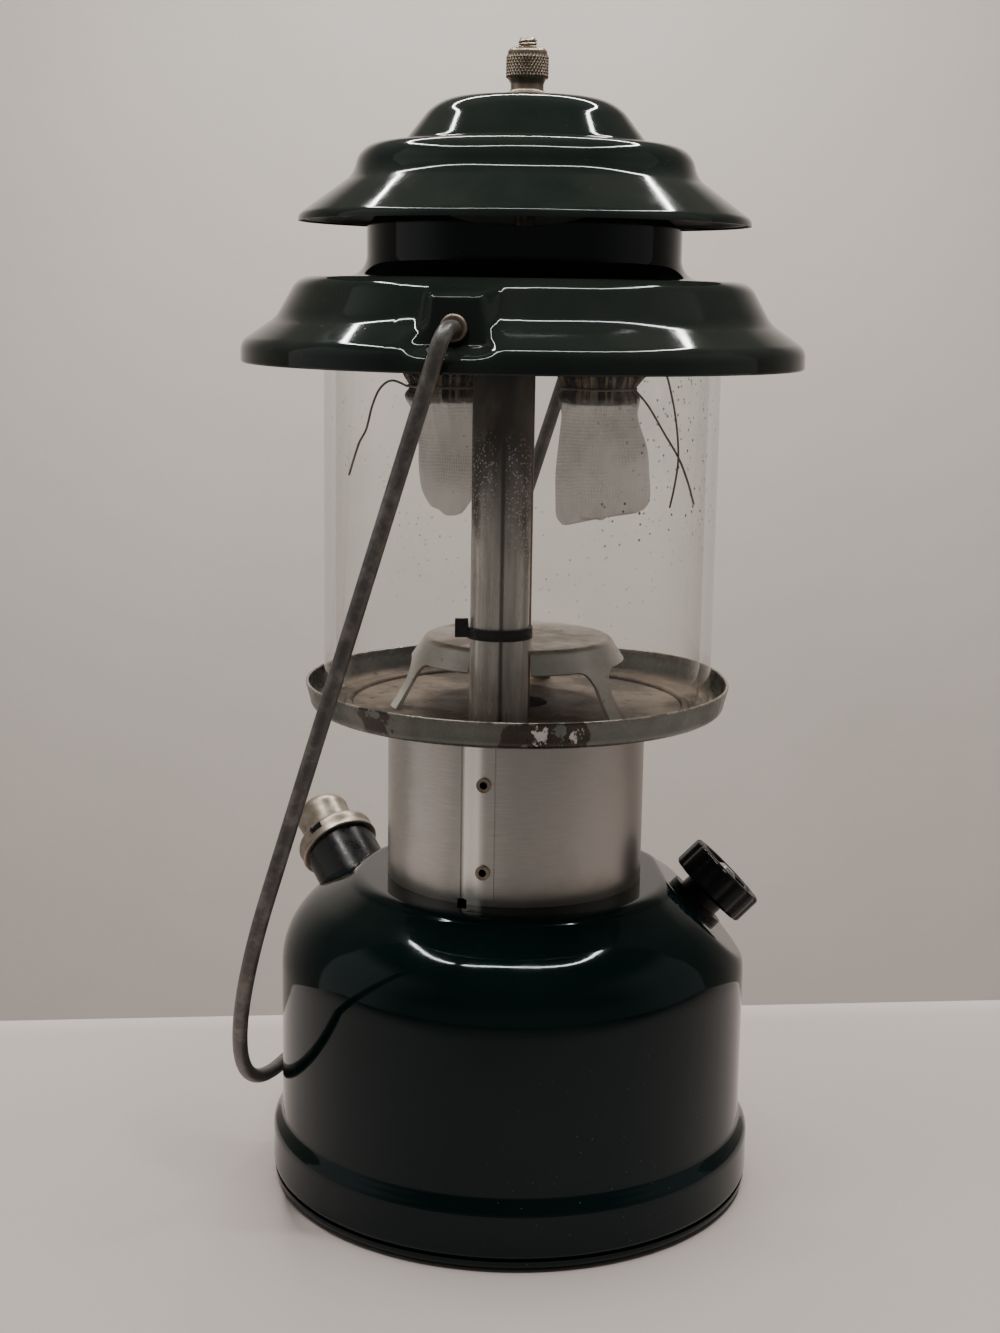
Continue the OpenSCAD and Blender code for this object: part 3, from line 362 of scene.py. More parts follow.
def sootIronLook(p):
    return grainLook(p.noise(150.0, 6.0, 0.65), (0.35, 0.7), rgb(0.028, 0.024, 0.02), rgb(0.12, 0.09, 0.06),
                     rough=(0.3, 0.8, 0.55, 0.85), bump=(0.3, 0.0004))


def blackLook(p):
    scuff = p.noise(210.0, 6.0, 0.7)
    return grainLook(scuff, (0.55, 0.8), rgb(0.0055, 0.0058, 0.0065), rgb(0.02, 0.02, 0.021),
                     rough=(0.35, 0.8, 0.24, 0.48), bump=(0.05, 0.0003))


def wireLook(p):
    scuff = p.noise(190.0, 6.0, 0.68)
    return grainLook(scuff, (0.42, 0.75), rgb(0.085, 0.08, 0.075), rgb(0.22, 0.205, 0.185),
                     rough=(0.35, 0.8, 0.36, 0.55), bump=(0.1, 0.0003))


def rubberLook(p):
    return grainLook(p.noise(700.0, 4.0), (0.3, 0.7), rgb(0.02, 0.02, 0.02), rgb(0.04, 0.038, 0.036),
                     rough=(0.3, 0.7, 0.6, 0.85), bump=(0.2, 0.0002))


def leatherLook(p):
    grain = p.node("TexVoronoi", {"Vector": p, "Scale": 900.0})
    return grainLook(grain, (0.1, 0.7), rgb(0.11, 0.06, 0.03), rgb(0.21, 0.125, 0.065),
                     rough=(0.1, 0.7, 0.55, 0.75), bump=(0.25, 0.0003))


def threadLook(p):
    twist = p.node("TexWave", {"Vector": p, "Scale": 900.0, "Distortion": 3.0}, bands_direction="DIAGONAL")
    return {"Base Color": twist.mix(rgb(0.13, 0.105, 0.08), rgb(0.3, 0.26, 0.21)),
            "Roughness": twist.ramp(0.0, 1.0, 0.75, 0.9), "Normal": twist.bump(0.4, 0.0002)}


def mantleLook(p):
    uv = p.node("UVMap", uv_map="knit")
    drift = p.noise(120.0, 3.0) * 0.03
    u, v = uv.axis(0) + drift, uv.axis(1) + drift
    turns, rows = 96.0, 44.0
    wale = p.math("ABSOLUTE", p.math("SINE", u * (turns * pi)))
    course = p.math("ABSOLUTE", p.math("SINE", v * (rows * pi) + wale * 1.2))
    knit = (wale * course * 0.8 + p.noise(700.0, 3.0) * 0.9).ramp(0.45, 1.25)
    clear = p.noise(90.0, 4.0).ramp(0.36, 0.62) * v.ramp(0.95, 0.6, 0.35, 1.0)
    burn = (v + (p.noise(300.0) - 0.5) * 0.1).ramp(0.27, 0.2)
    streak = uv.stretch(30.0, 1.6, 1.0).noise(1.0, 4.0)
    cloth = clear.mix(rgb(0.86, 0.84, 0.80), rgb(0.95, 0.935, 0.905))
    cloth = (knit.ramp(1.0, 0.0) * (0.06 + clear * 0.34)).mix(cloth, rgb(0.36, 0.34, 0.31))
    shade = uv.stretch(9.0, 1.5, 1.0).noise(1.0, 3.0).ramp(0.48, 0.66) * 0.35  # painted shade of long soft folds
    cloth = shade.mix(cloth, rgb(0.46, 0.435, 0.40))
    cloth = (burn * streak.ramp(0.36, 0.46, 0.6, 1.0)).mix(cloth, rgb(0.19, 0.12, 0.062))
    char = (burn * streak.ramp(0.45, 0.53) + v.ramp(0.09, 0.03) * 0.6).clamp()
    solid = 0.46 + knit * clear * 0.14 + p.noise(38.0, 3.0).ramp(0.4, 0.65) * 0.14 + burn * 0.5
    return {"Base Color": char.mix(cloth, rgb(0.013, 0.011, 0.010)),
            "Roughness": knit.ramp(0.0, 1.0, 0.9, 0.75), "Alpha": solid.clamp(),
            "Normal": (knit * (0.3 + clear)).bump(0.5, 0.0004)}


mats = {
    "enamel": material("darkGreenEnamel", enamelLook, IOR=1.5, Specular_IOR_Level=0.24,
                       Specular_Tint=rgb(0.86, 0.95, 1.0)),
    "hoodInside": material("hoodInside", hoodInsideLook),
    "nickel": material("wornNickel", nickelLook, Metallic=1.0),
    "dullSteel": material("dullSteel", dullSteelLook, Metallic=0.9),
    "steel": material("brightSteel", steelLook, Metallic=1.0),
    "brass": material("stainedBrass", brassLook, Metallic=1.0),
    "brownBrass": material("heatedBrass", brownBrassLook, Metallic=0.85),
    "collar": material("rolledAluminium", collarLook),
    "tray": material("wornTrayPaint", trayLook),
    "shield": material("paleAluminium", shieldLook, Metallic=0.3),
    "tube": material("sootedTube", tubeLook),
    "sootIron": material("sootedIron", sootIronLook, Metallic=0.3),
    "black": material("blackMoulding", blackLook, Specular_IOR_Level=0.2),
    "barrel": material("blackPaint", blackLook, Specular_IOR_Level=0.4),
    "wire": material("darkWire", wireLook, Metallic=0.3),
    "rubber": material("softRubber", rubberLook),
    "leather": material("oiledLeather", leatherLook),
    "thread": material("tieThread", threadLook),
    "mantle": material("knittedMantle", mantleLook),
}
print("materials", len(mats))


# clear glass: see-through, with reflections towards the rim, smudges and soot specks
def glassMaterial():
    mat, tree, bsdf, p = blankMaterial("clearGlobe")
    end = next(n for n in tree.nodes if n.type == "OUTPUT_MATERIAL")
    smear = p.noise(34.0, 6.0, 0.65)
    high = p.axis(2).ramp(0.15, 0.235)
    sooted = p.axis(0).ramp(0.008, 0.03) * p.axis(2).ramp(0.165, 0.195)  # most specks sit high on the right
    dirty = p.noise(30.0).ramp(0.5, 0.66) * 0.6 + sooted * p.noise(60.0).ramp(0.36, 0.52)
    speck = p.specks(330.0, 0.16) * dirty
    haze = smear.ramp(0.4, 0.8) * (0.02 + high * 0.05 + sooted * 0.06)
    facing = p.node("LayerWeight", {"Blend": 0.5}, out="Facing")
    tone = (speck * 0.9).mix(rgb(0.78, 0.75, 0.70), rgb(0.05, 0.04, 0.03))
    rough = smear.ramp(0.3, 0.8, 0.03, 0.12) + speck * 0.4
    tree.links.new(tone.out, bsdf.inputs["Base Color"])
    tree.links.new(rough.out, bsdf.inputs["Roughness"])
    clear = p.node("BsdfTransparent", {0: rgb(0.985, 0.985, 0.98)})
    amount = (facing ** 6.0) * 0.45 + 0.008 + haze + speck * 0.7
    smudged = p.node("MixShader", {0: amount.clamp(), 1: clear, 2: Wire(tree, bsdf.outputs[0])})
    mirror = p.node("BsdfAnisotropic", {"Color": rgb(0.95, 0.95, 0.94), "Roughness": 0.04})
    shine = p.node("MixShader", {0: (facing ** 5.0) * 0.7 + 0.012, 1: smudged, 2: mirror})
    tree.links.new(shine.out, end.inputs[0])
    return mat


mats["glass"] = glassMaterial()

# sizes shared by several pieces, in millimetres
lantern = {"fountTop": 85.0, "trayFloor": 131.8, "lip": 221.4, "pivot": 231.6, "ventTop": 243.2,
           "brim": 257.0, "land": 274.4, "capTop": 288.2, "sheet": 0.8}
floor, lip, top, sheet = (lantern[k] for k in ("trayFloor", "lip", "ventTop", "sheet"))

# fount: lathed tank with a pressed flat for the valve, on a rolled foot
fount = {"wall": 63.0, "shoulder": 22.0, "shoulderDrop": 25.0, "bottom": 3.0, "stepX": 40.5, "stepZ": 79.0,
         "stepR": 6.0, "stepDeg": 48.0, "hollowR": 4.0,
         "valveAt": (49.91, 75.13), "valveTilt": 45.0, "valveAz": 5.0}
stepLean, stepReach = radians(fount["stepDeg"]), fount["stepR"] + fount["hollowR"]
hollowX = fount["stepX"] + stepReach * cos(stepLean)
hollowZ = fount["stepZ"] + stepReach * sin(stepLean)
shoulderX, shoulderZ = fount["wall"] - fount["shoulder"], lantern["fountTop"] - fount["shoulderDrop"]
fountLine = [(0, lantern["fountTop"])]
fountLine += arc(fount["stepX"], fount["stepZ"], fount["stepR"], 90, fount["stepDeg"], 10)
fountLine += arc(hollowX, hollowZ, fount["hollowR"], 180 + fount["stepDeg"], 240, 5)
fountLine += arc(shoulderX, shoulderZ, fount["shoulder"], 60, 0, 30) + [(fount["wall"], 19.4)]
fountLine += arc(65.6, 19.4, 2.6, 180, 214, 6) + arc(61.8, 14.2, 3.7, 34, 0, 6)  # wider band at the bottom
fountLine += [(65.5, 5.0)] + arc(63.6, 5.0, 1.9, 0, -40, 5) + [(64.6, fount["bottom"]), (0, fount["bottom"])]
valvePlace = leanPlace(fount["valveAt"], fount["valveTilt"], fount["valveAz"])
valveAxis, valveOrigin = valvePlace.to_3x3() @ Vector((0, 0, 1)), valvePlace.translation


def pressFlat(p):
    s = (p - valveOrigin).dot(valveAxis)
    if p.x < 20 or s < -3:
        return p
    return p - valveAxis * 0.5 * (s + sqrt(s * s + 0.25))  # with a soft edge round the flat


fountPiece = lathe("fountTank", densify(fountLine, 0.9), 320, shape=pressFlat, close=False)
finishMesh(fountPiece, "enamel", "base", ["fount_shell"], 30)
footLine = [(0, 5.8), (56.5, 5.8)] + arc(57.3, 3.6, 2.2, 90, 0, 5)
footLine += [(60.5, fount["bottom"]), (65.2, fount["bottom"])] + arc(63.0, 2.6, 2.3, 0, -90, 8)
footLine += [(59.2, 0)] + arc(59.2, 0.7, 0.7, -90, -180, 4) + [(58.5, 5.0), (0, 5.0)]
footPiece = lathe("fountFoot", footLine, 240, close=False)
finishMesh(footPiece, "enamel", "base", ["fount_base"], 30)
print("fount built")

# ventilator: skirt with two pressed bail flats and four windows, and the stepped cap
vent = {"lipR": 72.8, "neckR": 40.5, "turn": 13.5, "padW": 13.0, "padOut": 67.0, "padFoot": (224.6, 228.2),
        "padHead": (239.2, 241.0), "fineTurn": 0.34, "coarseTurn": 1.5, "rounding": 14,
        "roundZ": (222.8, 242.4), "roundHalf": 15.5, "windowReach": (20, 52),
        "windowDeg": 66.0, "windowTurn": -3, "windowLow": 255.2, "windowHigh": 269.4, "windowSag": 4.4}
padDegs = (-90 - vent["turn"], 90 - vent["turn"])
padDirs = [Vector((cos(radians(a)), sin(radians(a)), 0)) for a in padDegs]


def skirtLine(o):
    return ([(vent["neckR"] - o, lantern["land"])] + arc(46.0, top + 5.5, 5.5 + o, 180, 270, 12)
            + arc(54.7, top - 5.5, 5.5 - o, 90, 28, 14) + arc(69.8, top - 4.8, 8.0 + o, 208, 235, 8)
            + arc(68.8, lip + 3.1, 4.0 - o, 55, 0, 10) + [(vent["lipR"] - o, lip + 0.4 * (o == 0))])


def skirtSide(o, step):  # coarse up the neck, finer where the flats are pressed
    line = skirtLine(o)
    return densify(line[:13], 1.6)[:-1] + densify(line[12:], step)


outer, inner = skirtSide(0, 0.42), skirtSide(sheet, 0.9)
flank = sorted((z, r) for r, z in outer if r > 54)
flankZ = [z for z, r in flank]


def acrossPad(p, n):
    return abs(Vector((-n.y, n.x, 0)).dot(p))


def pressPads(p):
    for n in padDirs:
        out, side = p.dot(n), acrossPad(p, n)
        if out < 45 or side > 22:
            continue
        r = hypot(p.x, p.y)
        high, low = 1 - smoothStep(*vent["padHead"], p.z), smoothStep(*vent["padFoot"], p.z)
        spread = 2.6 + 3.6 * smoothStep(237, 226, p.z)  # the flat widens downwards
        w = high * low * (1 - smoothStep(vent["padW"] / 2 - 0.8, vent["padW"] / 2 + spread, side))
        deep = sheet if r < flank[min(bisect.bisect(flankZ, p.z), len(flank) - 1)][1] - 0.45 else 0.0
        p = p + n * ((vent["padOut"] - deep) - out) * w
    return p


def roundFolds(bm):
    (low, high), half = (z * mm for z in vent["roundZ"]), vent["roundHalf"] * mm
    folds = [v for v in bm.verts if low < v.co.z < high
             and any(v.co.dot(n) > 50 * mm and acrossPad(v.co, n) < half for n in padDirs)]
    for k in range(vent["rounding"]):
        bmesh.ops.smooth_vert(bm, verts=folds, factor=0.5, use_axis_x=True, use_axis_y=True, use_axis_z=True)


skirtTurns, deg = [], 0.0
while deg < 360:
    skirtTurns.append(radians(deg))
    nearPad = min(abs((deg - a + 180) % 360 - 180) for a in padDegs) < 15
    deg += (vent["fineTurn"] if nearPad else vent["coarseTurn"]) / detail
skirt = lathe("ventSkirt", outer + [(72.5, lip)] + list(reversed(inner)), shape=pressPads, angles=skirtTurns)
editMesh(skirt.data, roundFolds)
half = vent["neckR"] * sin(radians(vent["windowDeg"] / 2))
sag, high = vent["windowSag"], vent["windowHigh"]
sagR = (half * half + sag * sag) / (2 * sag)
window = [half * (i / 12 - 1) for i in range(25)]
window = [(x, vent["windowLow"] + sagR - sqrt(sagR * sagR - x ** 2)) for x in window]
window += [(half, high - 1), (half - 1, high), (-half + 1, high), (-half, high - 1)]
for k in range(4):
    turn = Matrix.Rotation(radians(90 * k + vent["windowTurn"]), 4, "Z")
    ends = ([(turn @ Vector((x, -y, z))) * mm for x, z in window] for y in vent["windowReach"])
    cutter = prism("windowCutter", *ends)
    cut = skirt.modifiers.new("window", "BOOLEAN")
    cut.operation, cut.object, cut.solver = "DIFFERENCE", cutter, "EXACT"
    skirt = bake(skirt)
    bpy.data.objects.remove(cutter)
finishMesh(skirt, "enamel", "ventilator", ["vent_neck", "vent_skirt"], 35)


def capLine(o):
    line = [(2.9, lantern["capTop"] - o)] + arc(16.5, 276.0, 12.2 - o, 90, 38, 16)
    line += arc(31.94, 278.65, 1.6 + o, 218, 265, 6) + arc(37.2, 270.3, 6.2 - o, 85, 15, 12)
    line += arc(50.09, 272.82, 6.9 + o, 195, 234, 10)
    return line + arc(55.8, 257.4, 2.2 - o, 54, 0, 8) + [(58.0 - o, lantern["brim"])]


cap = lathe("ventCap", densify(capLine(0), 0.7) + list(reversed(densify(capLine(sheet), 0.7))), 320)
finishMesh(cap, "enamel", "ventilator", ["vent_cap"], 30)
cap.data.materials.append(mats["hoodInside"])
for poly in cap.data.polygons:  # the underside is sooted
    if poly.normal.z < -0.25:
        poly.material_index = 1
print("ventilator built")

# globe: straight glass with fire-polished ends, standing on the tray's floor
globe = {"r": 51.5, "wall": 3.0, "round": 1.1, "top": 242.4}
bead = globe["round"]
outX, inX = globe["r"] - bead, globe["r"] - globe["wall"] + bead
lowZ, highZ = floor + bead, globe["top"] - bead
glassLine = [(inX, floor), (outX, floor)] + arc(outX, lowZ, bead, -90, 0, 4)
glassLine += arc(outX, highZ, bead, 0, 90, 4) + arc(inX, highZ, bead, 90, 180, 4)
glassLine += arc(inX, lowZ, bead, 180, 270, 4)
finishMesh(lathe("globeGlass", glassLine, 200), "glass", "globe", ["globe"], 60)

# tray: pan with a rolled rim, a bead in its floor and one bent place
tray = {"bendAt": 28.0, "bendWide": 26.0, "bendRise": 0.9}
pan = [(8.2, floor), (42.0, floor)] + arc(45.1, 131.6, 1.25, 170, 10, 6) + [(47.6, floor), (52.8, floor)]
pan += arc(52.8, 133.5, 1.7, -90, 0, 6) + [(55.6, 137.7)] + arc(56.0, 137.8, 0.42, 180, 0, 6)
pan += [(56.35, 137.4), (55.3, 133.5)] + arc(52.8, 133.5, 2.5, 0, -90, 8) + [(8.2, floor - sheet)]


def bendRim(p):
    a = degrees(atan2(p.y, p.x))
    w = smoothStep(50, 56, hypot(p.x, p.y)) * exp(-((a - tray["bendAt"]) / tray["bendWide"]) ** 2)
    return p + Vector((0, 0, tray["bendRise"] * w))


trayPiece = lathe("trayPan", densify(pan, 1.5) + [pan[0]], 240, shape=bendRim)
finishMesh(trayPiece, "tray", "base", ["globe_tray"], 35)

# heat shield: disc with a rounded shoulder, a flared skirt and three legs drawn down from it
shield = {"at": (0.0, 2.0), "top": 149.8, "low": 144.0, "bore": 4.6, "shoulder": (25.7, 148.1),
          "skirtR": 28.4, "legOut": 6.4, "legs": (200, 318, 78), "legR": 30.0, "legW": 4.6, "rootW": 15.0}


def legEdge(a):
    best, fillet = shield["low"], (shield["rootW"] - shield["legW"]) / 2
    for leg in shield["legs"]:
        d = radians(abs((a - leg + 180) % 360 - 180)) * shield["legR"]
        if d <= shield["legW"] / 2:
            best = floor
        elif d < shield["rootW"] / 2:
            t = (d - shield["legW"] / 2) / fillet
            drop = fillet * 1.25 * (1 - sqrt(max(0.0, 1 - (1 - t) ** 2)))
            best = min(best, shield["low"] - drop)
    return best


def cutOpenings(bm):  # the slot round the air tube, and the hole in the middle
    tube, slot = Vector(airTube["at"]) * mm, airTube["slot"] * mm
    gone = []
    for f in bm.faces:
        c = f.calc_center_median()
        inSlot = (abs(c.x - tube.x) < slot and c.y < tube.y) or (c.xy - tube).length < slot
        if inSlot or c.xy.length < shield["bore"] * mm or f.calc_area() < 1e-12:
            gone.append(f)
    bmesh.ops.delete(bm, geom=gone, context="FACES")
    turnOut(bm)


def shieldMesh():
    low, (r0, z0), r1 = shield["low"], shield["shoulder"], shield["skirtR"]
    crown = [(2.0, shield["top"]), (20, shield["top"]), (22.6, 149.7)] + arc(23.4, 147.2, 2.5, 80, 22, 8)
    crown += [(r0 + (r1 - r0) * (k / 3), z0 + (low - z0) * (k / 3)) for k in (1, 2, 3)]
    count, legRows = 720, 14
    rows = len(crown) + legRows
    verts, faces = [], []
    for i in range(count):
        a = radians(i * 360 / count)
        edge, path = legEdge(i * 360 / count), list(crown)
        for k in range(1, legRows + 1):
            z = low + (edge - low) * k / legRows
            t = (low - z) / (low - floor)
            path.append((r1 + shield["legOut"] * (0.62 * t + 0.38 * t * t), z))
        verts += [((shield["at"][0] + r * cos(a)) * mm, (shield["at"][1] + r * sin(a)) * mm, z * mm)
                  for r, z in path]
        j = (i + 1) % count
        faces += [(i * rows + k, j * rows + k, j * rows + k + 1, i * rows + k + 1) for k in range(rows - 1)]
    obj = meshObject("heatShield", verts, faces)
    editMesh(obj.data, cutOpenings)
    if sum(f.normal.z for f in obj.data.polygons) < 0:
        obj.data.flip_normals()
    thick = obj.modifiers.new("thick", "SOLIDIFY")
    thick.thickness, thick.offset = sheet * mm, -1
    return bake(obj)


finishMesh(shieldMesh(), "shield", "base", ["heat_shield"], 40)
print("tray and shield built")


# geometry node trees: named inputs at the start, Realize Instances and Set Material at the end
def startTree(name, inputs):
    tree = bpy.data.node_groups.new(name, "GeometryNodeTree")
    for label, kind in inputs:
        tree.interface.new_socket(label, in_out="INPUT", socket_type="NodeSocket" + kind)
    tree.interface.new_socket("Geometry", in_out="OUTPUT", socket_type="NodeSocketGeometry")
    return tree, tree.nodes.new("NodeGroupInput").outputs


def endTree(tree, shape, mat):
    kinds = ("GeometryNodeRealizeInstances", "GeometryNodeSetMaterial", "NodeGroupOutput")
    real, paint, end = (tree.nodes.new(k) for k in kinds)
    tree.links.new(shape, real.inputs["Geometry"])
    tree.links.new(real.outputs["Geometry"], paint.inputs["Geometry"])
    tree.links.new(mat, paint.inputs["Material"])
    tree.links.new(paint.outputs["Geometry"], end.inputs["Geometry"])
    return tree


def nodePiece(obj, tree, values):  # inputs are set by their identifiers
    mod = obj.modifiers.new(tree.name, "NODES")
    mod.node_group = tree
    for item in tree.interface.items_tree:
        if item.item_type == "SOCKET" and item.in_out == "INPUT" and item.name in values:
            mod[item.identifier] = values[item.name]
    return bake(obj)


def wireTree():  # a round wire or thread along a path
    inputs = (("Geometry", "Geometry"), ("Wire Radius", "Float"), ("Sides", "Int"), ("Material", "Material"))
    tree, given = startTree("wireAlongPath", inputs)
    ring = tree.nodes.new("GeometryNodeCurvePrimitiveCircle")
    sweep = tree.nodes.new("GeometryNodeCurveToMesh")
    sweep.inputs["Fill Caps"].default_value = True
    tree.links.new(given["Wire Radius"], ring.inputs["Radius"])
    tree.links.new(given["Sides"], ring.inputs["Resolution"])
    tree.links.new(given["Geometry"], sweep.inputs["Curve"])
    tree.links.new(ring.outputs["Curve"], sweep.inputs["Profile Curve"])
    return endTree(tree, sweep.outputs["Mesh"], given["Material"])


wireGroup = wireTree()


def wirePiece(name, pts, radius, sides, mat):
    curve = bpy.data.curves.new(name, "CURVE")
    curve.dimensions = "3D"
    line = curve.splines.new("POLY")
    line.points.add(len(pts) - 1)
    for q, p in zip(line.points, pts):
        q.co = (p.x * mm, p.y * mm, p.z * mm, 1)
    sizes = {"Wire Radius": radius * mm, "Sides": sides, "Material": mat}
    return nodePiece(linkObject(name, curve), wireGroup, sizes)


def smoothPath(pts, per=8):  # rounded line through the points
    out = []
    for i in range(len(pts) - 1):
        p0, p1, p2, p3 = pts[max(i - 1, 0)], pts[i], pts[i + 1], pts[min(i + 2, len(pts) - 1)]
        for k in range(per):
            t = k / per
            out.append(0.5 * (2 * p1 + (p2 - p0) * t + (2 * p0 - 5 * p1 + 4 * p2 - p3) * t * t
                              + (3 * p1 - p0 - 3 * p2 + p3) * t ** 3))
    return out + [pts[-1]]


# bail: hoop whose ends turn in through the eyelets, drawn hanging
bail = {"wire": 1.95, "reach": 75.4, "bend": 4.0, "end": 62.0, "length": 217.64, "hang": 17.4734}
reach, bend = bail["reach"], bail["bend"]
flat = [(bail["end"], 0.0)] + arc(reach - bend, -bend, bend, 90, 0, 10)
flat += [(reach, -20.0 * k) for k in range(1, 8)] + arc(0, reach - bail["length"], reach, 0, -90, 60)
flat += [(-x, z) for x, z in reversed(flat[:-1])]
toPivot = Matrix.Translation((0, 0, lantern["pivot"]))
hangTurn = (toPivot @ Matrix.Rotation(radians(padDegs[0]), 4, "Z")
            @ Matrix.Rotation(radians(-bail["hang"]), 4, "X"))
hoop = [hangTurn @ Vector((x, 0, z)) for x, z in flat]
bailPiece = wirePiece("bailHoop", hoop, bail["wire"], 24, mats["wire"])
finishMesh(bailPiece, "wire", "bail", ["bail"], 50)
face, back = vent["padOut"], vent["padOut"] - sheet
eye = densify([(2.0, back - 1)] + arc(2.65, back - 0.6, 0.62, 250, 400, 6) + [(2.6, back + 0.2), (2.6, face)]
              + arc(2.7, face + 0.55, 0.62, -60, 130, 8) + [(2.0, face + 1)], 0.5)
for i, n in enumerate(padDirs):
    place = toPivot @ n.to_track_quat("Z", "Y").to_matrix().to_4x4()
    eyelet = lathe("bailEyelet%d" % i, eye, 48, place=place)
    finishMesh(eyelet, "nickel", "ventilator", ["bail_eyelets"], 50)
print("bail built")

# mantles: knitted bags gathered into a frill above the tie
# each row has its share of the length, then width, depth and shift outwards against the radius
# each lobe has its angle, its depth under the tie and its size
mantle = {"tie": 215.5, "r": 9.85, "apart": 20.0, "length": 33.5, "pleats": 13, "frill": 5.5,
          "mantleRightLobe": (-0.55, 15.5, 0.13), "mantleLeftLobe": (-2.3, 23.0, 0.16),
          "mantleRight": [(0.21, 1.0, 1.0, 0.02), (0.42, 1.12, 1.05, 0.08), (0.63, 1.22, 0.94, 0.13),
                          (0.81, 1.26, 0.68, 0.18), (0.93, 1.24, 0.4, 0.19), (1.0, 1.08, 0.16, 0.19)],
          "mantleLeft": [(0.21, 0.97, 0.98, -0.12), (0.42, 0.9, 0.92, -0.2), (0.63, 0.86, 0.86, -0.2),
                         (0.81, 0.74, 0.72, -0.16), (0.93, 0.5, 0.48, -0.12), (1.0, 0.2, 0.18, -0.1)]}


def mantlePiece(name, side, slant, rows, lobe):
    count = int(204 * detail)
    r, tall, frill = mantle["r"], mantle["length"], mantle["frill"]
    keys = [(frill, r + 0.8, r + 0.8, 0, 0.10), (2.6, r + 0.2, r + 0.2, 0, 0.075),
            (0.0, r - 0.55, r - 0.55, 0, 0.025), (-2.6, r + 0.2, r + 0.2, 0, 0.055)]
    keys += [(-s * tall, w * r, d * r, side * m * r, 0.03 * (1 - s) ** 3) for s, w, d, m in rows]
    fine = smoothPath([Vector(k) for k in keys], 7)
    verts, faces, uvs = [], [], []
    for rise, wide, deep, shift, pleat in fine:
        share = max(0.0, -rise / tall)
        for i in range(count):
            a = 2 * pi * i / count
            fold = mantle["pleats"] * a + 0.9 * sin(3 * a)
            crease = 1 + pleat * (cos(fold) + 0.45 * cos(2 * fold + 1.1))
            crease += 0.016 * share * sin(5 * a + 2 + 4 * share) * sin(3.1 * share)
            swell = (a - lobe[0] + pi) % (2 * pi) - pi  # one soft lobe in each bag
            crease += lobe[2] * exp(-(swell / 0.55) ** 2 - ((rise + lobe[1]) / 7.5) ** 2)
            x, y = wide * cos(a) * crease, deep * sin(a) * crease
            lump = 0.25 * share * sin(3 * a + 5 * share)
            droop = 0.5 * share ** 3 * (sin(0.62 * x + 1 + side) + 0.5 * sin(1.5 * x + 2))  # uneven hem
            z = mantle["tie"] + rise - droop + slant * side * x * share * share
            verts.append(((side * mantle["apart"] + x + shift) * mm, (y + lump) * mm, z * mm))
            uvs.append((i / count, (frill - rise) / (frill + tall)))
    ring = [(i, (i + 1) % count) for i in range(count)]
    for q in range(0, len(verts) - count, count):
        faces += [(q + i, q + j, q + count + j, q + count + i) for i, j in ring]
    last = len(verts) - count
    middle = sum((Vector(v) for v in verts[last:]), Vector()) / count - Vector((0, 0, 0.0003))
    verts.append(tuple(middle))
    uvs.append((0.5, 1.0))
    faces += [(last + i, last + j, last + count) for i, j in ring]
    me = bpy.data.meshes.new(name)
    me.from_pydata(verts, [], faces)
    layer = me.uv_layers.new(name="knit")
    for loop in me.loops:
        layer.data[loop.index].uv = uvs[loop.vertex_index]
    for poly in me.polygons:  # the seam column closes at 1, not back at 0
        us = [layer.data[k].uv[0] for k in poly.loop_indices]
        if max(us) - min(us) > 0.5:
            for k in poly.loop_indices:
                if layer.data[k].uv[0] < 0.5:
                    layer.data[k].uv[0] += 1
    editMesh(me, turnOut)
    return linkObject(name, me)


sides = (("mantleLeft", -1, 0.04, "mantle_left"), ("mantleRight", 1, 0.2, "mantle_right"))
for name, side, slant, node in sides:
    piece = mantlePiece(name, side, slant, mantle[name], mantle[name + "Lobe"])
    area = sum(f.area for f in piece.data.polygons)
    finishMesh(piece, "mantle", "base", [node], 180)
    print(name, "area", round(area * 1e6), "mm2")

# tie strings: loose ends hanging from the ties, close to the routes of the solids
strings = {
    "r": 0.3, "out": 10.55,
    "stringLeft": ("string_left", -1, 205, [
        (0, 0, 0), (-4, -1.5, 1.5), (-7, -2, -0.5), (-9, -2.5, -5), (-10.5, -3, -11), (-12.5, -3, -15),
        (-15, -2.5, -23)]),
    "stringFront": ("string_front", 1, -30, [
        (0, 0, 0), (3.5, -1.5, -4), (7.5, -2.5, -10.5), (11.5, -3.5, -17), (14, -4, -23), (15.8, -4, -29)]),
    "stringRear": ("string_rear", 1, 25, [
        (0, 0, 0), (4, 3, 4), (8, 5, 4.5), (10.5, 6, -3), (12, 6.5, -11), (12.6, 6.5, -19), (11.8, 6, -26),
        (10.6, 5.5, -32)])}
for name in ("stringLeft", "stringFront", "stringRear"):
    node, side, az, route = strings[name]
    knotX, knotY = (strings["out"] * f(radians(az)) for f in (cos, sin))
    knot = Vector((side * mantle["apart"] + knotX, knotY, mantle["tie"]))
    pts = smoothPath([knot + Vector(q) for q in route])
    thread = wirePiece(name, pts, strings["r"], 8, mats["thread"])
    piece = finishMesh(thread, "thread", "base", [node], 60)
    length = sum((b - a).length for a, b in zip(pts, pts[1:])) * mm
    print(name, "length", round(length * 1000, 1), "mm")

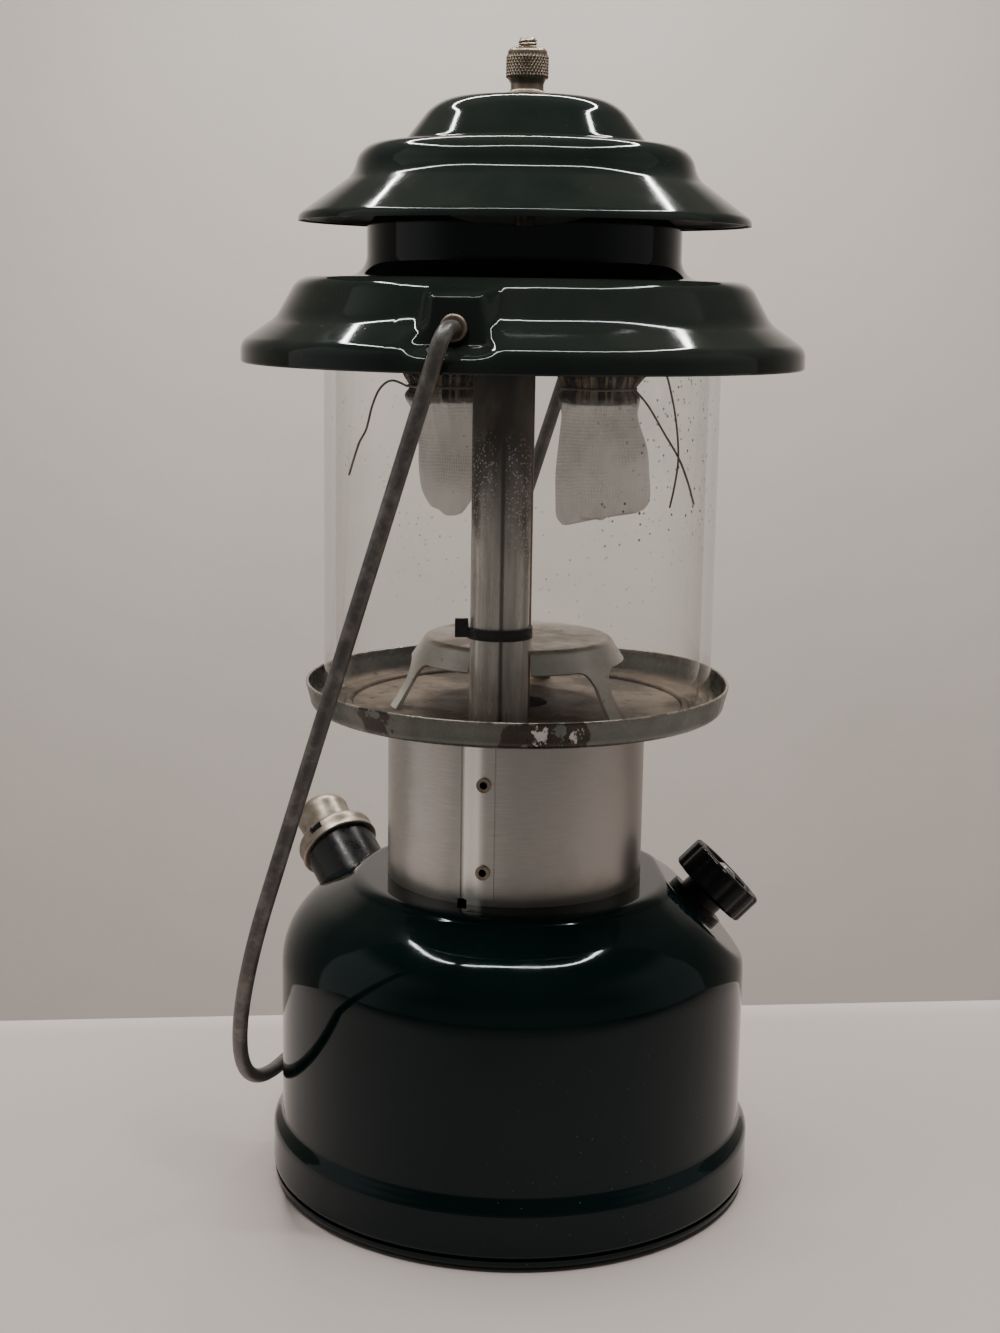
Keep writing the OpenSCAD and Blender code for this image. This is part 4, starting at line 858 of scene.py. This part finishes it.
# ball nut with a knurled band, made in geometry nodes
ball = {"r": 5.3, "z": 295.9, "knurlRows": 7, "knurlColumns": 36, "knurlTall": 4.4, "tooth": 0.47,
        "sunk": 0.16}
ballLine = [(3.5, lantern["capTop"]), (4.9, lantern["capTop"])] + arc(4.85, 289.0, 0.6, -70, 70, 6)
ballLine += [(4.4, 289.9), (4.2, 290.3), (4.2, 291.7)] + arc(4.55, 294.0, 0.65, -38, 0, 4)
ballLine += arc(4.6, 297.9, 0.6, 0, 40, 4) + arc(3.3, 298.9, 1.85, 22, 80, 8) + [(3.5, 300.8)]
ballPiece = lathe("ballNut", densify(ballLine, 0.4), 120)
finishMesh(ballPiece, "dullSteel", "nut", ["ball_nut"], 40)


def knurlTree():
    inputs = [(label, "Float") for label in ("Radius", "Height", "Centre", "Tooth")]
    inputs += [("Columns", "Int"), ("Rows", "Int"), ("Material", "Material")]
    tree, given = startTree("knurlBand", inputs)
    new, link = tree.nodes.new, tree.links.new
    size = {label: Wire(tree, given[label]) for label, kind in inputs}
    line, index = new("GeometryNodeMeshLine"), Wire(tree, new("GeometryNodeInputIndex").outputs[0])
    link((size["Columns"] * size["Rows"]).out, line.inputs["Count"])
    row = index.math("FLOOR", index / size["Columns"])
    shift = index.math("MODULO", row, 2.0) * 0.5  # every other row is half a tooth on
    angle = (index.math("MODULO", index, size["Columns"]) + shift) / size["Columns"] * (2 * pi)
    rise = (row / (size["Rows"] - 1.0) - 0.5) * size["Height"]
    x, y = (size["Radius"] * index.math(kind, angle) for kind in ("COSINE", "SINE"))
    spot = index.node("CombineXYZ", {0: x, 1: y, 2: rise + size["Centre"]})
    turn = index.node("CombineXYZ", {1: pi / 2, 2: angle})
    put, scatter = new("GeometryNodeSetPosition"), new("GeometryNodeInstanceOnPoints")
    tooth = new("GeometryNodeMeshCone")
    tooth.inputs["Vertices"].default_value = 4
    for label, share in (("Radius Bottom", 1.0), ("Radius Top", 0.25), ("Depth", 0.55)):
        link((size["Tooth"] * share).out, tooth.inputs[label])
    link(line.outputs["Mesh"], put.inputs["Geometry"])
    link(spot.out, put.inputs["Position"])
    link(put.outputs[0], scatter.inputs["Points"])
    link(tooth.outputs["Mesh"], scatter.inputs["Instance"])
    link(turn.out, scatter.inputs["Rotation"])
    scatter.inputs["Scale"].default_value = (1.7, 1.0, 1.0)  # diamonds stand taller than they are wide
    return endTree(tree, scatter.outputs[0], given["Material"])


seed = meshObject("ballKnurl", [(0, 0, 0.29), (0.001, 0, 0.29), (0, 0.001, 0.29)], [(0, 1, 2)])
sizes = {"Radius": (ball["r"] - ball["sunk"]) * mm, "Height": ball["knurlTall"] * mm,
         "Centre": ball["z"] * mm, "Tooth": ball["tooth"] * mm,
         "Columns": ball["knurlColumns"], "Rows": ball["knurlRows"], "Material": mats["dullSteel"]}
knurl = nodePiece(seed, knurlTree(), sizes)
finishMesh(knurl, "dullSteel", "nut", ["ball_nut"], 10)

# stud: threaded at the top, with a six-sided nut at its foot
stud = {"r": 2.4, "tip": 1.9, "low": 248.0, "thread": 284.0, "top": 303.0, "pitch": 0.8, "groove": 0.11,
        "nutR": 4.4, "nutLow": 239.4}
studLine = [(0, stud["low"]), (stud["r"], stud["low"])]
studLine += [(stud["r"], stud["thread"] + 0.14 * k) for k in range(132)]
studLine += [(stud["tip"], stud["top"]), (0, stud["top"])]


def threadShape(p):
    if p.z < 284.1 or p.z > 302.6 or hypot(p.x, p.y) < 2.3:
        return p
    w = 0.5 - 0.5 * cos(2 * pi * (p.z / stud["pitch"] - atan2(p.y, p.x) / (2 * pi)))
    cut = 1 - stud["groove"] * w
    return Vector((p.x * cut, p.y * cut, p.z))


studPiece = lathe("stud", studLine, 40, shape=threadShape, close=False)
finishMesh(studPiece, "dullSteel", "base", ["stud"], 50)
corners = [[stud["nutR"] * f(radians(60 * i)) for f in (cos, sin)] for i in range(6)]
ends = ([Vector((x, y, z)) * mm for x, y in corners] for z in (stud["nutLow"], stud["low"]))
footNut = prism("studFoot", *ends)
finishMesh(footNut, "dullSteel", "base", ["stud"], 30)

# pump: nickel cap with a notch in its rim, and a domed knob
pump = {"at": (58.1, 73.85), "tilt": 56.0, "az": 144.0, "swing": 20.0, "hole": 9.6, "deep": -25.0,
        "notch": 128.0, "notchHalf": 9.5, "notchR": 8.9}
pumpPlace = leanPlace(pump["at"], pump["tilt"], pump["az"], -pump["swing"])
intoPump = pumpPlace.inverted()
lid = [(2.5, 7.0), (8.8, 7.0), (8.8, 12.0), (10.3, 12.0), (10.3, 8.5), (11.0, 8.5)]
lid += arc(11.0, 9.05, 0.55, -90, 20, 5) + [(11.3, 9.8)] + arc(8.95, 12.0, 2.5, 4, 90, 10)
lid += [(6.4, 14.5), (6.0, 14.1), (2.5, 14.1)]


def fromNotch(p):  # degrees round the cap, from the middle of the notch
    return abs(degrees(atan2(p.y, p.x)) - pump["notch"])


def rimNotch(p):
    r, floorR = hypot(p.x, p.y), pump["notchR"]
    if r > floorR and p.z > 11.4 and fromNotch(p) < pump["notchHalf"]:
        return Vector((p.x * floorR / r, p.y * floorR / r, p.z))
    return p


def openTank(bm):  # opens the tank where the barrel passes through it
    holed = set()
    for v in bm.verts:
        q = intoPump @ (v.co / mm)
        off = hypot(q.x, q.y)
        if q.z > pump["deep"] and off < pump["hole"]:
            grow = pump["hole"] / max(off, 0.001)
            v.co = (pumpPlace @ Vector((q.x * grow, q.y * grow, q.z))) * mm
            holed.add(v)
    inside = [f for f in bm.faces if all(v in holed for v in f.verts)]
    bmesh.ops.delete(bm, geom=inside, context="FACES")


editMesh(fountPiece.data, openTank)
pumpCap = lathe("pumpCap", densify(lid, 0.8), 180, place=pumpPlace, shape=rimNotch)
finishMesh(pumpCap, "nickel", "base", ["pump_cap"], 35)
pumpCap.data.materials.append(mats["black"])
for poly in pumpCap.data.polygons:  # the notch shows the dark inside
    c = intoPump @ (poly.center / mm)
    if c.z > 11.0 and 8.6 < hypot(c.x, c.y) < 10.8 and fromNotch(c) < 10.4:
        poly.material_index = 1
dome = [(2.4, 15.4), (3.5, 15.4), (3.5, 20.4), (6.8, 20.4), (6.9, 15.3)] + arc(7.45, 15.5, 0.5, -150, 0, 5)
dome += [(7.7, 18.0), (7.8, 21.0)] + arc(3.7, 21.5, 4.2, 3, 90, 12) + [(0, 25.9), (0, 20.4)]
pumpKnob = lathe("pumpKnob", dome, 96, place=pumpPlace)
finishMesh(pumpKnob, "nickel", "pump_handle", ["pump_knob"], 45)

# valve knob: dished black wheel with round flutes
knob = {"flutes": 14, "cut": 0.04}
wheel = [(2.5, 4.9), (4.0, 4.9), (4.2, 8.6), (9.4, 8.6), (9.9, 4.9)] + arc(10.85, 5.8, 0.9, -90, 0, 4)
wheel += arc(10.75, 12.4, 1.0, 0, 90, 5) + arc(9.6, 12.6, 0.8, 90, 180, 4) + [(8.7, 12.2), (2.5, 12.2)]


def fluteShape(p):
    r, a = hypot(p.x, p.y), atan2(p.y, p.x)
    w = smoothStep(10.2, 11.2, r) * (0.5 + 0.5 * cos(knob["flutes"] * a + pi)) ** 2.2
    cut = 1 - knob["cut"] * w
    return Vector((p.x * cut, p.y * cut, p.z))


valveKnob = lathe("valveKnob", densify(wheel, 0.9), 336, place=valvePlace, shape=fluteShape)
finishMesh(valveKnob, "black", "valve", ["valve_knob"], 40)
print("small pieces built")

# carried-over solids keep their own shape and take a finish
finishes = {"barrel": ["pump_barrel"], "leather": ["pump_cup"], "rubber": ["filler_gasket"],
            "collar": ["collar"], "dullSteel": ["collar_rivets"], "thread": ["mantle_ties"],
            "steel": ["pump_rod", "valve_stem", "valve_screw", "generator_needle", "burner_screens"],
            "brass": ["pump_check_valve", "filler_neck", "valve_body", "pickup_tube", "fuel_pipe",
                      "generator_block", "generator_nut", "gas_tip", "ball_insert"],
            "black": ["filler_cap", "valve_bonnet", "tube_clip"], "tube": ["air_tube"],
            "brownBrass": ["generator_tube"], "sootIron": ["manifold", "burner_caps"]}
for finish, nodes in finishes.items():
    for node in nodes:
        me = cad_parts[node].data
        me.materials.clear()
        me.materials.append(mats[finish])
print("finishes given", sum(len(nodes) for nodes in finishes.values()))

# table and backdrop, in metres
studio = {"tableBack": 0.119, "tableTurn": 0.1105, "tableHalf": 1.6, "tableFront": -1.1, "drop": -0.6,
          "wallY": 0.62, "wallHalf": 2.4, "wallTop": 1.8}


def clothLook(p):
    cloud, weave = p.noise(3.0, 4.0), p.noise(420.0, 3.0)
    base = cloud.ramp(0.3, 0.7).mix(rgb(0.61, 0.54, 0.51), rgb(0.65, 0.58, 0.55))
    # painted highlight: a lighter band along the back edge of the table
    edge = (p.axis(0) * studio["tableTurn"] + studio["tableBack"] - p.axis(1)).ramp(0.014, 0.002)
    base = (edge * 0.6).mix(base, rgb(0.78, 0.71, 0.675))
    # painted shade: the cloth darkens towards the front
    return {"Base Color": p.axis(1).ramp(-0.14, -0.3).mix(base, rgb(0.36, 0.33, 0.31)),
            "Roughness": weave.ramp(0.3, 0.7, 0.55, 0.7), "Normal": weave.bump(0.02, 0.0002)}


def wallLook(p):
    cloud, crumple = p.noise(4.0, 5.0), p.noise(9.0, 6.0, 0.6)
    return {"Base Color": cloud.ramp(0.3, 0.7).mix(rgb(0.80, 0.74, 0.69), rgb(0.85, 0.785, 0.735)),
            "Roughness": cloud.ramp(0.3, 0.7, 0.55, 0.7), "Normal": crumple.bump(0.15, 0.01),
            "Alpha": 1.0 - p.node("NewGeometry", out="Backfacing")}  # seen through from behind


def plane(name, corners, mat):
    obj = meshObject(name, corners, [(0, 1, 2, 3)])
    obj.data.materials.append(mat)


cloth, wall = material("paleCloth", clothLook), material("paleWall", wallLook)
right, front, drop = studio["tableHalf"], studio["tableFront"], studio["drop"]
backL, backR = (studio["tableBack"] + s * right * studio["tableTurn"] for s in (-1, 1))
plane("table", [(-right, front, 0), (right, front, 0), (right, backR, 0), (-right, backL, 0)], cloth)
edge = [(-right, backL, 0), (right, backR, 0), (right, backR, drop), (-right, backL, drop)]
plane("tableEdge", edge, cloth)
right, wallY, wallTop = studio["wallHalf"], studio["wallY"], studio["wallTop"]
backdrop = [(-right, wallY, drop), (right, wallY, drop), (right, wallY, wallTop), (-right, wallY, wallTop)]
plane("backdrop", backdrop, wall)

# lights: a round-cornered frame of narrow strips overhead
strips = {"high": 0.62, "wide": 0.012, "middle": (-0.015, 0.095), "half": (0.258, 0.268), "square": 3.2,
          "count": 28, "power": 4.0}


def ringPoint(t):
    pair = zip(strips["middle"], strips["half"], (cos(t), sin(t)))
    return Vector([m + h * copysign(abs(v) ** (2 / strips["square"]), v) for m, h, v in pair])


ring = [ringPoint(2 * pi * k / strips["count"]) for k in range(strips["count"])]
for k, (a, b) in enumerate(zip(ring, ring[1:] + ring[:1])):
    data = bpy.data.lights.new("strip%d" % k, "AREA")
    data.shape, data.size, data.size_y = "RECTANGLE", (b - a).length, strips["wide"]
    data.energy, data.color = strips["power"] * (b - a).length, (1, 0.97, 0.94)
    lamp = linkObject("strip%d" % k, data)
    lamp.location = ((a.x + b.x) / 2, (a.y + b.y) / 2, strips["high"])
    lamp.rotation_euler = (0, 0, atan2(b.y - a.y, b.x - a.x))

# the room around: dim behind the camera and overhead, paler at the sides
world = bpy.data.worlds.new("room")
bpy.context.scene.world = world
world.use_nodes = True
dirn = Wire(world.node_tree).node("TexCoord", out="Generated")
front, over, low = dirn.axis(1).ramp(-0.1, -0.7), dirn.axis(2).ramp(0.55, 0.75), dirn.axis(2).ramp(0.4, 0.1)
behind = low.mix(rgb(0.06, 0.058, 0.056), rgb(0.17, 0.165, 0.16))
sides = dirn.axis(0).ramp(-0.3, 0.5).mix(rgb(0.53, 0.51, 0.49), rgb(0.35, 0.335, 0.32))  # dimmer on the right
shade = over.mix(front.mix(sides, behind), rgb(0.06, 0.06, 0.06))
backing = next(n for n in world.node_tree.nodes if n.type == "BACKGROUND")
world.node_tree.links.new(shade.out, backing.inputs[0])
backing.inputs[1].default_value = 1.0

# camera from the photograph's fitted view
shot = {"at": (0.0, -0.5225, 0.24), "pitch": 10.697, "yaw": -0.509, "roll": 0.868, "focalPx": 1985.6,
        "widthPx": 1000.0, "sensor": 36.0}
pitch, yaw, roll = (radians(shot[k]) for k in ("pitch", "yaw", "roll"))
look = Vector((sin(yaw) * cos(pitch), cos(yaw) * cos(pitch), -sin(pitch)))
level = look.cross(Vector((0, 0, 1))).normalized()
upright = level.cross(look)
right = cos(roll) * level + sin(roll) * upright
up = -sin(roll) * level + cos(roll) * upright
cam = linkObject("camera", bpy.data.cameras.new("camera"))
cam.data.sensor_fit, cam.data.sensor_width = "HORIZONTAL", shot["sensor"]
cam.data.lens = shot["sensor"] * shot["focalPx"] / shot["widthPx"]
cam.data.clip_start = 0.01
cam.matrix_world = Matrix.Translation(shot["at"]) @ Matrix((right, up, -look)).transposed().to_4x4()
bpy.context.scene.camera = cam

print("scene ready")
